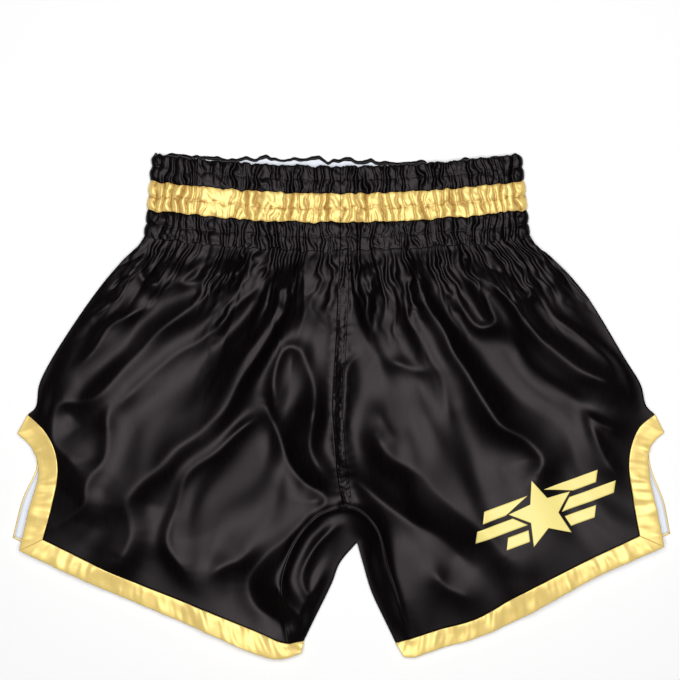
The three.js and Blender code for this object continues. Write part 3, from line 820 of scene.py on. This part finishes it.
# ---------------------------------------------------------------- waistband
FLAT_RUN = BAND_HALF - FOLD_RADIUS
ARC_RUN = FOLD_RADIUS * math.pi / 2
GOLD_UNDER = 1.2          # the gold strips run on this far beneath the black ones
BACK_COARSER = 1.8        # the back strips' mesh step over the front ones'
ELASTIC_WIDTH = 10
ELASTIC_THICKNESS = 0.7
ELASTIC_DEPTH = 1.2       # inside the strips' face
ELASTIC_CELLS = (320, 8)
FACING_FROM = 0.5         # its lower edge over the band's
FACING_SHORT = 1.9        # its upper edge under the band's
FACING_THICKNESS = 0.3
FACING_DEPTH = 2.1
FACING_CELLS = (700, 48)


def band_surface(side, front, run, h, depth, lift):
    """Points of the band. run is millimetres from the centre seam round to the side, h its height,
    depth how far inside the strips' face it lies, and lift how far the gathers push it out."""
    seam_x = CENTRE_SEAM[-1][0]
    fold_x = BAND_CENTRE_X + side * FLAT_RUN
    angle = np.clip((run - FLAT_RUN) / ARC_RUN, 0, 1) * math.pi / 2
    flat_x = seam_x + (fold_x - seam_x) * np.clip(run / FLAT_RUN, 0, 1)
    radius = FOLD_RADIUS - depth + lift
    up = 1 if front else -1
    crown = BAND_CROWN * smoothstep(np.abs(fold_x - flat_x) / BAND_CROWN_RUN) if front else 0
    x = flat_x + side * radius * np.sin(angle)
    z = FOLD_CENTRE_Z + up * radius * np.cos(angle) + crown
    bottom_x = x + (x - BAND_CENTRE_X) * BAND_FLARE / BAND_HALF
    wide_x = x + (x - BAND_CENTRE_X) * BAND_FLARE / BAND_HALF * (1 - 2 * h / BAND_HEIGHT)
    rise = 0 if front else waist_rise(bottom_x)
    return np.column_stack([wide_x, band_bottom(bottom_x) + rise + h, z])


def gather_lift(side, front, run, h):
    """Each channel puffs a little between its stitch rows, and ribs run up through them all."""
    across = side * run + (500 if not front else 0)
    channel = np.clip(np.floor(h / CHANNEL), 0, CHANNELS - 1)
    puff = np.sin(np.pi * np.clip(h / CHANNEL - channel, 0, 1)) ** 0.6
    slanted = wrinkles(across + 0.7 * h, h + 50 * channel, 5.0, 8, 42)
    at_side = smoothstep((run - FLAT_RUN + 10) / 12)
    ribs = (EDGE_SHARE + (1 - EDGE_SHARE) * puff) * (1 - 0.7 * at_side)
    ribs = ribs * (1 - rib_crease(across, h, BAND_SOFTNESS))
    return 0.2 + puff * (0.35 + 0.5 * slanted + 1.2 * at_side) + RIB_LIFT * ribs


def edge_wave(side, run, h, front):
    """The top and bottom edges of the band wander with the gathers."""
    across = side * run + (500 if not front else 0)
    top = smoothstep((h - BAND_HEIGHT + 8) / 8)
    rows = 1.3 * wrinkles(across, h, 8, 30, 47) + 0.7 * wrinkles(across, h, 4.4, 20, 48)
    rows = rows + 2.6 * smoothstep((7 - h) / 7) * wrinkles(across, 0 * across, 7, 10, 54)
    rounded = -1.8 * smoothstep((run - FLAT_RUN + 2) / 7)
    if not front:
        return rows + top * (rounded + BACK_SCALLOP * wrinkles(across, 0 * across, 12, 10, 45))
    return rows + top * (rounded - 1.6 * rib_crease(across, 0 * across + BAND_HEIGHT))


def strip_points(side, front, run, h, tucked, thickness, depth=0.0):
    lift = gather_lift(side, front, run, h) - tucked if front else -0.3
    lift = lift + (0.35 * (1 - smoothstep(h / 1.6)) if front else 0)
    lift = lift * (1 - smoothstep(depth / TOP_ROLL))
    points = band_surface(side, front, run, h, depth, lift)
    points[:, 1] += edge_wave(side, run, h, front)
    points[:, 2] = np.maximum(points[:, 2], TABLE_GAP + thickness)
    return points


def rolled_over(s, top):
    """Height and depth at a run up a strip whose top is rolled in over the elastic."""
    past = s - (top - TOP_ROLL)
    turn = np.clip(past / TOP_ROLL, 0, math.pi)
    h = np.minimum(s, top - TOP_ROLL) + TOP_ROLL * np.sin(turn) - np.maximum(past - math.pi * TOP_ROLL, 0)
    return h, TOP_ROLL * (1 - np.cos(turn))


def band_strip(name, side, front, low, high, under, pitch, thickness, material):
    """One strip between two heights. A strip with some under runs on beneath its neighbours, and
    the top one is rolled in over the last elastic."""
    total = FLAT_RUN + ARC_RUN
    rolled = TOP_HEM if high == BAND_HEIGHT else 0

    def place(u, v):
        run = total * (u if side > 0 else 1 - u)
        h = low - under + (high - low + 2 * under + rolled) * v
        depth = 0 * h
        if rolled:
            h, depth = rolled_over(h, high)
        tucked = 0.4 * smoothstep(np.maximum(low - h, h - high) / 0.4 + 0.6) if under else 0
        return strip_points(side, front, run, h, tucked, thickness, depth), h, side * run * 1.6

    # Painted shade: the band's creases and the tucks along its stitch rows are painted darker, and the back
    # strips get less of it.
    def crease(u, v):
        run = total * (u if side > 0 else 1 - u)
        h = low + (high - low) * v
        deep = np.minimum(1.5 * rib_crease(side * run, h, 0.5 * BAND_SOFTNESS) ** CREASE_SHADE_EDGE, 1)
        return np.maximum(deep, 0.9 * stitch_row_shade(side * run, h)) * (1 if front else 0.3)

    cells = cells_for(total, high - low + rolled, pitch)
    return cloth(name, cells, place, thickness, material, crease)


def band_loop(name, low, high, depth, cells, thickness, material, rib=0.0):
    """A loop that runs all the way round inside the strips."""
    half = FLAT_RUN + ARC_RUN

    def place(u, v):
        quarter = np.minimum(np.floor(u * 4), 3).astype(int)
        within = (u * 4 - quarter) * half
        run = np.where(quarter % 2 == 0, within, half - within)
        h = low + (high - low) * v
        points = np.zeros((len(u), 3))
        for index, (side, front) in enumerate([(1, False), (1, True), (-1, True), (-1, False)]):
            chosen = quarter == index
            puff = 0.35 * gather_lift(side, front, run[chosen], h[chosen]) * rib
            points[chosen] = band_surface(side, front, run[chosen], h[chosen], depth, puff)
            points[chosen, 1] += edge_wave(side, run[chosen], h[chosen], front)
        return points, h, u * 4 * half

    piece = cloth(name, cells, place, thickness, material)
    weld(piece)
    return piece


# ---------------------------------------------------------------- print and stitches
EMBLEM_AT = (180.0, -98.0)
EMBLEM_TILT = math.radians(20)
STAR_RADIUS = 31.0
STAR_WAIST = 0.45
BAR_LENGTHS = (84, 132, 108)
BAR_HEIGHT = 10.0
BAR_PITCH = 14.5
BAR_SLANT = 5.0
STAR_MARGIN = 3.0     # bare cloth between the star and the bars
PRINT_LIFT = 0.28     # the print's face over the satin
PRINT_THICKNESS = 0.2


def bar_corners():
    """The print's slanted bars, three on each side of the star, as four corners each."""
    quads = []
    for row, length in enumerate(BAR_LENGTHS):
        low, high = (row - 1) * BAR_PITCH - BAR_HEIGHT / 2, (row - 1) * BAR_PITCH + BAR_HEIGHT / 2
        for side in SIDES.values():
            inner = [side * (star_half_width(y) + STAR_MARGIN) for y in (low, high)]
            outer = [side * length / 2, side * length / 2 + BAR_SLANT]
            start, end = (inner, outer) if side > 0 else (outer, inner)
            quads.append([(start[0], low), (end[0], low), (start[1], high), (end[1], high)])
    return quads


def star_outline(turn):
    """The star's radius at turns from 0 to 1, from its upper tip."""
    half_arm = turn * 10
    tip_side = np.abs(half_arm - 2 * np.round(half_arm / 2)) * math.pi / 5
    notch = STAR_RADIUS * STAR_WAIST
    return STAR_RADIUS * notch * math.sin(math.pi / 5) / (
        STAR_RADIUS * np.sin(tip_side) + notch * np.sin(math.pi / 5 - tip_side))


def star_half_width(y):
    """How far the star reaches to one side at a height."""
    corners = []
    for i in range(10):
        radius = STAR_RADIUS * (1 if i % 2 == 0 else STAR_WAIST)
        angle = math.pi / 2 - i * math.pi / 5
        corners.append((radius * math.cos(angle), radius * math.sin(angle)))
    reach = 0.0
    for (ax, ay), (bx, by) in zip(corners, corners[1:]):
        if min(ay, by) <= y <= max(ay, by) and ay != by:
            reach = max(reach, ax + (bx - ax) * (y - ay) / (by - ay))
    return reach


def print_field(name, cells, shape):
    """One field of the print, laid on the shell; shape(u, v) gives its flat points."""
    piece, u, v = grid(name, *cells)
    turn = np.array([[math.cos(EMBLEM_TILT), math.sin(EMBLEM_TILT)],
                     [-math.sin(EMBLEM_TILT), math.cos(EMBLEM_TILT)]])
    xy = shape(u, v) @ turn + EMBLEM_AT
    z = front_face(xy[:, 0], xy[:, 1]) + PRINT_LIFT
    place_vertices(piece, np.column_stack([xy, z]))
    set_weave(piece, xy[:, 1], xy[:, 0])
    weld(piece)
    give_thickness(piece, PRINT_THICKNESS)
    return piece


def emblem(material):
    def star(u, v):
        angle = math.pi / 2 + u * 2 * math.pi
        radius = (1 - v) * star_outline(u)
        return np.column_stack([radius * np.cos(angle), radius * np.sin(angle)])

    def bar(corners):
        a, b, c, d = (np.array(corner) for corner in corners)

        def shape(u, v):
            return (a * ((1 - u) * (1 - v))[:, None] + b * (u * (1 - v))[:, None]
                    + c * ((1 - u) * v)[:, None] + d * (u * v)[:, None])
        return shape

    fields = [print_field("print_star", (60, 14), star)]
    for index, corners in enumerate(bar_corners()):
        fields.append(print_field(f"print_bar_{index}", (22, 7), bar(corners)))
    piece = join(fields, "star_and_bars_print")
    piece.data.materials.append(material)
    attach(piece, "root")
    return piece


def join(pieces, name):
    deselect_all()
    for piece in pieces:
        piece.select_set(True)
    bpy.context.view_layer.objects.active = pieces[0]
    bpy.ops.object.join()
    pieces[0].name = name
    pieces[0].data.name = name
    return pieces[0]


# ---------------------------------------------------------------- materials
STREAK_WIDTH = 0.0011     # metres, as a shader's UV map is
STREAK_LENGTH = 0.014
BUMP_DEPTH = 0.0001


def linear(hex_colour):
    """An sRGB hex colour as the linear values that a shader takes."""
    channels = [int(hex_colour[i:i + 2], 16) / 255 for i in (1, 3, 5)]
    return [c / 12.92 if c <= 0.04045 else ((c + 0.055) / 1.055) ** 2.4 for c in channels] + [1.0]


def deeper(colour, bounces, share=1.0):
    """A deeper, darker linear colour, as after light has met the dyed cloth this many times over. The yarns'
    darker streaks take it, and so does the shade painted into creases.
    """
    return [share * channel ** bounces for channel in colour[:3]] + [1.0]


def add_node(tree, kind, links=None, **settings):
    """Adds a node, sets its sockets or its properties by name, and links its inputs."""
    made = tree.nodes.new(kind)
    for name, value in settings.items():
        socket = made.inputs.get(name.replace("_", " ").title()) if not hasattr(made, name) else None
        if socket is not None:
            socket.default_value = value
        else:
            setattr(made, name, value)
    for name, source in (links or {}).items():
        tree.links.new(source, made.inputs[name])
    return made


def set_inputs(node, values):
    for name, value in values.items():
        node.inputs[name].default_value = value


def new_material(name):
    made = bpy.data.materials.new(name)
    made.use_nodes = True
    tree = made.node_tree
    shader = tree.nodes["Principled BSDF"]
    return made, tree, shader


def woven_satin(name, colour, roughness, specular, tint, coloured_gloss):
    """Polyester satin, woven with long floats: smooth and glossy along its warp, with a faint
    streak where yarns lie unevenly. Yarns of 0.2 mm are too fine to show, so streaks are 1.1 mm."""
    made, tree, shader = new_material(name)
    weave = add_node(tree, "ShaderNodeUVMap", uv_map="Weave")
    streaks_at = add_node(tree, "ShaderNodeMapping", {"Vector": weave.outputs["UV"]})
    set_inputs(streaks_at, {"Scale": (1 / STREAK_WIDTH, 1 / STREAK_LENGTH, 1)})
    streaks = add_node(tree, "ShaderNodeTexNoise", {"Vector": streaks_at.outputs["Vector"]})
    set_inputs(streaks, {"Scale": 1.0, "Detail": 2.0})
    tone = add_node(tree, "ShaderNodeMix", {"Factor": streaks.outputs["Fac"]}, data_type="RGBA")
    set_inputs(tone, {"A": deeper(colour, 1.5), "B": colour})
    # Painted shade: the base colour is mixed towards a much darker, deeper one by how far each vertex lies in
    # a crease, as light dies between the folds.
    crease_shade_mask = add_node(tree, "ShaderNodeAttribute", attribute_name="crease_shade")
    folded = add_node(tree, "ShaderNodeMix", {"Factor": crease_shade_mask.outputs["Fac"], "A": tone.outputs["Result"]},
                      data_type="RGBA")
    set_inputs(folded, {"B": deeper(colour, 4.0, 0.45)})
    tree.links.new(folded.outputs["Result"], shader.inputs["Base Color"])
    gloss = add_node(tree, "ShaderNodeMapRange", {"Value": streaks.outputs["Fac"]})
    set_inputs(gloss, {"To Min": roughness - 0.05, "To Max": roughness + 0.05})
    tree.links.new(gloss.outputs["Result"], shader.inputs["Roughness"])
    bump = add_node(tree, "ShaderNodeBump", {"Height": streaks.outputs["Fac"]})
    set_inputs(bump, {"Strength": 0.12, "Distance": BUMP_DEPTH})
    tree.links.new(bump.outputs["Normal"], shader.inputs["Normal"])
    set_inputs(shader, {"Specular IOR Level": specular, "Specular Tint": linear(tint),
                        "Metallic": coloured_gloss})
    return made


def plain_weave(name, colour, roughness, pitch):
    """Cotton-touch plain weave: dull and even, with its threads at pitch millimetres."""
    made, tree, shader = new_material(name)
    set_inputs(shader, {"Base Color": colour, "Roughness": roughness})
    weave = add_node(tree, "ShaderNodeUVMap", uv_map="Weave")
    at = add_node(tree, "ShaderNodeMapping", {"Vector": weave.outputs["UV"]})
    set_inputs(at, {"Scale": (1 / (pitch * MM), 1 / (pitch * MM), 1)})
    threads = add_node(tree, "ShaderNodeTexNoise", {"Vector": at.outputs["Vector"]})
    set_inputs(threads, {"Scale": 1.0})
    bump = add_node(tree, "ShaderNodeBump", {"Height": threads.outputs["Fac"]})
    set_inputs(bump, {"Strength": 0.2, "Distance": BUMP_DEPTH})
    tree.links.new(bump.outputs["Normal"], shader.inputs["Normal"])
    return made


def screen_print(name, colour):
    """Plastisol ink, screened and cured: a smooth film, a little glossier than the cloth."""
    made, tree, shader = new_material(name)
    set_inputs(shader, {"Base Color": colour, "Roughness": 0.45})
    return made


def kept_material(name, make, *values):
    return bpy.data.materials.get(name) or make(name, *values)


def black_satin():
    return kept_material("black_polyester_satin", woven_satin, colours().black_satin,
                         0.4, 0.15, "#fff2f8", 0.0)


def gold_satin():
    return kept_material("gold_polyester_satin", woven_satin, colours().gold_satin,
                         0.38, 0.6, "#fdf6c8", 0.18)


def white_lining():
    return kept_material("white_plain_weave", plain_weave, colours().lining, 0.8, 0.4)


def white_elastic():
    return kept_material("knitted_elastic", plain_weave, colours().elastic, 0.9, 1.0)


def gold_ink():
    return kept_material("gold_plastisol_print", screen_print, colours().print_ink)


# ---------------------------------------------------------------- settings and operators
def size_property(name, description, default):
    return bpy.props.FloatProperty(name=name, description=f"{description}, in mm", default=default)


def colour_property(name, description, colour):
    return bpy.props.FloatVectorProperty(name=name, description=description, subtype="COLOR", size=4,
                                         min=0, max=1, default=linear(colour))


class ShortsSizes(bpy.types.PropertyGroup):
    """Sizes that a user would change."""
    satin: size_property("Satin", "Thickness of the satin shell", 0.5)
    lining: size_property("Lining", "Thickness of the lining", 0.3)
    front_pitch: size_property("Front pitch", "Mesh step of the front panels", 1.3)
    back_pitch: size_property("Back pitch", "Mesh step of the back panels and linings", 2.6)
    trim_pitch: size_property("Trim pitch", "Mesh step of the bindings", 1.0)
    band_pitch: size_property("Band pitch", "Mesh step of the gathered band", 0.8)


class ShortsColours(bpy.types.PropertyGroup):
    """Colours that a user would change."""
    black_satin: colour_property("Shell", "Satin of the legs and of most of the band", "#0b0809")
    gold_satin: colour_property("Gold", "Satin of the bindings and the band's stripe", "#f4db90")
    # The linings' pale blue-grey: the cloth itself is white, and its blue-grey tint is painted shade, as the
    # linings and facing lie inside the shorts.
    lining: colour_property("Lining", "Plain weave of the linings and the facing", "#e4e8f1")
    elastic: colour_property("Elastic", "Knitted elastic in the band's channels", "#e6e6e2")
    print_ink: colour_property("Print", "Ink of the emblem", "#f6e58a")


def sizes():
    return bpy.context.scene.shorts_sizes


def colours():
    return bpy.context.scene.shorts_colours


CAMERA_OVER = np.array([-0.9, 56.25])     # the pattern point under the camera
CAMERA_HEIGHT = 1.53                      # metres


def studio_world():
    """Pale all round at the level of the table, and dim above it, so that cloth that turns away
    from the soft light falls off to black."""
    world = bpy.data.worlds.new("studio")
    world.use_nodes = True
    tree = world.node_tree
    at = add_node(tree, "ShaderNodeTexCoord")
    height = add_node(tree, "ShaderNodeSeparateXYZ", {"Vector": at.outputs["Generated"]})
    shade = add_node(tree, "ShaderNodeMapRange", {"Value": height.outputs["Z"]},
                     interpolation_type="SMOOTHSTEP")
    set_inputs(shade, {"From Min": 0.05, "From Max": 0.42, "To Min": 0.85, "To Max": 0.1})
    tree.links.new(shade.outputs["Result"], tree.nodes["Background"].inputs["Strength"])
    return world


class SHORTS_OT_stage(bpy.types.Operator):
    """Adds the pale table, the soft lights and the camera over the shorts"""
    bl_idname = "shorts.stage"
    bl_label = "Stage"

    def execute(self, context):
        scene = context.scene
        deselect_all()
        bpy.ops.object.camera_add(location=(*(CAMERA_OVER + OFFSET) * MM, CAMERA_HEIGHT))
        camera = context.object
        camera.data.lens = 90
        camera.data.sensor_width = 36
        scene.camera = camera
        bpy.ops.mesh.primitive_plane_add(size=6, location=(0, 0, -0.0002))
        table = context.object
        table.name = "table"
        surface, tree, shader = new_material("matt_white_table")
        set_inputs(shader, {"Base Color": linear("#fbfbfb"), "Roughness": 0.9, "Specular IOR Level": 0.1})
        table.data.materials.append(surface)
        bpy.ops.object.light_add(type="AREA", location=(0, 0.15, 1.9))
        key = context.object
        key.data.shape = "RECTANGLE"
        key.data.size = 1.35
        key.data.size_y = 1.2
        key.data.energy = 44
        world = studio_world()
        scene.world = world
        scene.view_settings.view_transform = "Standard"
        return {"FINISHED"}


class SHORTS_OT_front_panels(bpy.types.Operator):
    """Makes the two front shells, gathered under the band and lying in folds"""
    bl_idname = "shorts.front_panels"
    bl_label = "Front panels"

    def execute(self, context):
        for who in SIDES:
            piece = front_panel(who, sizes().front_pitch, sizes().satin, black_satin())
            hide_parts(f"front_panel_{who}")
        return {"FINISHED"}


class SHORTS_OT_back_panels(bpy.types.Operator):
    """Makes the two back shells, flat on the table"""
    bl_idname = "shorts.back_panels"
    bl_label = "Back panels"

    def execute(self, context):
        for who in SIDES:
            piece = back_panel(who, sizes().back_pitch, sizes().satin, black_satin())
            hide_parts(f"back_panel_{who}")
        return {"FINISHED"}


class SHORTS_OT_linings(bpy.types.Operator):
    """Makes the white lining of each leg, front and back"""
    bl_idname = "shorts.linings"
    bl_label = "Linings"

    def execute(self, context):
        for who in SIDES:
            for where in ("front", "back"):
                piece = lining(who, where == "front", sizes().back_pitch, sizes().lining, white_lining())
                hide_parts(f"{where}_lining_{who}")
        return {"FINISHED"}


class SHORTS_OT_bindings(bpy.types.Operator):
    """Makes the gold strips round the vents and along the hems"""
    bl_idname = "shorts.bindings"
    bl_label = "Bindings"

    def execute(self, context):
        for who in SIDES:
            for where in ("front", "back"):
                front = where == "front"
                vent = vent_trim(who, front, sizes().trim_pitch, TRIM_THICKNESS, gold_satin())
                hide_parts(f"{where}_vent_trim_{who}")
                hem = hem_trim(who, front, sizes().trim_pitch, TRIM_THICKNESS, gold_satin())
                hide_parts(f"{where}_hem_trim_{who}")
        return {"FINISHED"}


class SHORTS_OT_centre_fell(bpy.types.Operator):
    """Makes the felled strip over the centre seam"""
    bl_idname = "shorts.centre_fell"
    bl_label = "Centre seam"

    def execute(self, context):
        piece = centre_fell(FELL_PITCH, FELL_THICKNESS, black_satin())
        return {"FINISHED"}


class SHORTS_OT_stitches(bpy.types.Operator):
    """Sews the rows of stitches: on the band's channels, on the bindings and down the centre seam"""
    bl_idname = "shorts.stitches"
    bl_label = "Stitches"

    def execute(self, context):
        for index, row in enumerate(FELL_ROWS):
            thread(f"centre_seam_stitches_{index + 1}", lambda t, row=row: fell_points(0 * t + row, t * 0.96),
                   STITCH, black_satin())
        for who in SIDES:
            bindings = (("vent", vent_edges(who), VENT_LENGTH), ("hem", hem_edges(who), HEM_LENGTH))
            for kind, edges, length in bindings:
                def on_trim(t, edges=edges, length=length):
                    return trim_points(*edges, True, length, t, 0 * t + TRIM_ROW, 0)
                thread(f"{kind}_binding_stitches_{who}", on_trim, STITCH, gold_satin())
        for channel in range(CHANNELS):
            for who, side in SIDES.items():
                self.sew_band(channel, who, side)
        return {"FINISHED"}

    def sew_band(self, channel, who, side):
        """Sews one row over the front of one half of the band."""
        height = channel * CHANNEL + (0.4 if channel % 2 == 0 else 0)
        satin, slot = (gold_satin(), "gold_satin") if channel in GOLD_ROWS else (black_satin(), "black_satin")

        def on_band(t):
            run = (FLAT_RUN + ARC_RUN) * (0.005 + 0.97 * t)
            return strip_points(side, True, run, height + 0 * t, 0, 0)

        thread(f"channel_{channel + 1}_stitches_{who}", on_band, STITCH, satin)


class SHORTS_OT_gusset(bpy.types.Operator):
    """Makes the folded gusset between the legs"""
    bl_idname = "shorts.gusset"
    bl_label = "Gusset"

    def execute(self, context):
        piece = gusset(GUSSET_PITCH, sizes().satin, black_satin())
        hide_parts("crotch_gusset")
        return {"FINISHED"}


class SHORTS_OT_band_strips(bpy.types.Operator):
    """Makes the gathered strips of the waistband: black, gold and black"""
    bl_idname = "shorts.band_strips"
    bl_label = "Waistband strips"

    def execute(self, context):
        third = BAND_HEIGHT / 3
        for index, level in enumerate(("lower", "gold", "top")):
            satin = gold_satin() if level == "gold" else black_satin()
            for who, side in SIDES.items():
                for where in ("front", "back"):
                    front = where == "front"
                    pitch = sizes().band_pitch * (1 if front else BACK_COARSER)
                    under = GOLD_UNDER if level == "gold" else 0
                    piece = band_strip(f"{where}_{level}_strip_{who}", side, front, index * third,
                                       (index + 1) * third, under, pitch, sizes().satin, satin)
                    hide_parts(f"{where}_band_{level}_{who}")
        return {"FINISHED"}


class SHORTS_OT_elastics(bpy.types.Operator):
    """Makes the six elastics inside the channels"""
    bl_idname = "shorts.elastics"
    bl_label = "Elastics"

    def execute(self, context):
        for channel in range(CHANNELS):
            low = channel * CHANNEL + (CHANNEL - ELASTIC_WIDTH) / 2
            piece = band_loop(f"channel_elastic_{channel + 1}", low, low + ELASTIC_WIDTH, ELASTIC_DEPTH,
                              ELASTIC_CELLS, ELASTIC_THICKNESS, white_elastic())
            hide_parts(f"elastic_{channel + 1}")
        return {"FINISHED"}


class SHORTS_OT_facing(bpy.types.Operator):
    """Makes the white facing that closes the channels on the inside"""
    bl_idname = "shorts.facing"
    bl_label = "Facing"

    def execute(self, context):
        piece = band_loop("waistband_facing", FACING_FROM, BAND_HEIGHT - FACING_SHORT, FACING_DEPTH,
                          FACING_CELLS, FACING_THICKNESS, white_lining(), rib=0.3)
        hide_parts("band_facing")
        return {"FINISHED"}


class SHORTS_OT_emblem(bpy.types.Operator):
    """Prints a plain star and bars on the wearer's left leg"""
    bl_idname = "shorts.emblem"
    bl_label = "Emblem print"

    def execute(self, context):
        piece = emblem(gold_ink())
        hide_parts("leg_emblem")
        return {"FINISHED"}


OPERATORS = (SHORTS_OT_stage, SHORTS_OT_front_panels, SHORTS_OT_back_panels, SHORTS_OT_linings,
             SHORTS_OT_bindings, SHORTS_OT_gusset, SHORTS_OT_centre_fell, SHORTS_OT_band_strips,
             SHORTS_OT_elastics, SHORTS_OT_facing, SHORTS_OT_stitches, SHORTS_OT_emblem)


class SHORTS_PT_making(bpy.types.Panel):
    """Lists the steps that make the shorts"""
    bl_label = "Boxing shorts"
    bl_space_type = "VIEW_3D"
    bl_region_type = "UI"
    bl_category = "Shorts"

    def draw(self, context):
        for group in (context.scene.shorts_sizes, context.scene.shorts_colours):
            for name in type(group).__annotations__:
                self.layout.prop(group, name)
        for operator in OPERATORS:
            self.layout.operator(operator.bl_idname)


CLASSES = (ShortsSizes, ShortsColours, *OPERATORS, SHORTS_PT_making)


def register():
    for each in CLASSES:
        bpy.utils.register_class(each)
    bpy.types.Scene.shorts_sizes = bpy.props.PointerProperty(type=ShortsSizes)
    bpy.types.Scene.shorts_colours = bpy.props.PointerProperty(type=ShortsColours)


def unregister():
    del bpy.types.Scene.shorts_colours
    del bpy.types.Scene.shorts_sizes
    for each in reversed(CLASSES):
        bpy.utils.unregister_class(each)


def write_sizes():
    """Brings the scene's view layer up to date."""
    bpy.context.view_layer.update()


def main():
    register()
    bpy.ops.shorts.stage()
    bpy.ops.shorts.front_panels()
    bpy.ops.shorts.back_panels()
    bpy.ops.shorts.linings()
    bpy.ops.shorts.bindings()
    bpy.ops.shorts.gusset()
    bpy.ops.shorts.centre_fell()
    bpy.ops.shorts.band_strips()
    bpy.ops.shorts.elastics()
    bpy.ops.shorts.facing()
    bpy.ops.shorts.stitches()
    bpy.ops.shorts.emblem()
    write_sizes()


if __name__ == "__main__":
    main()
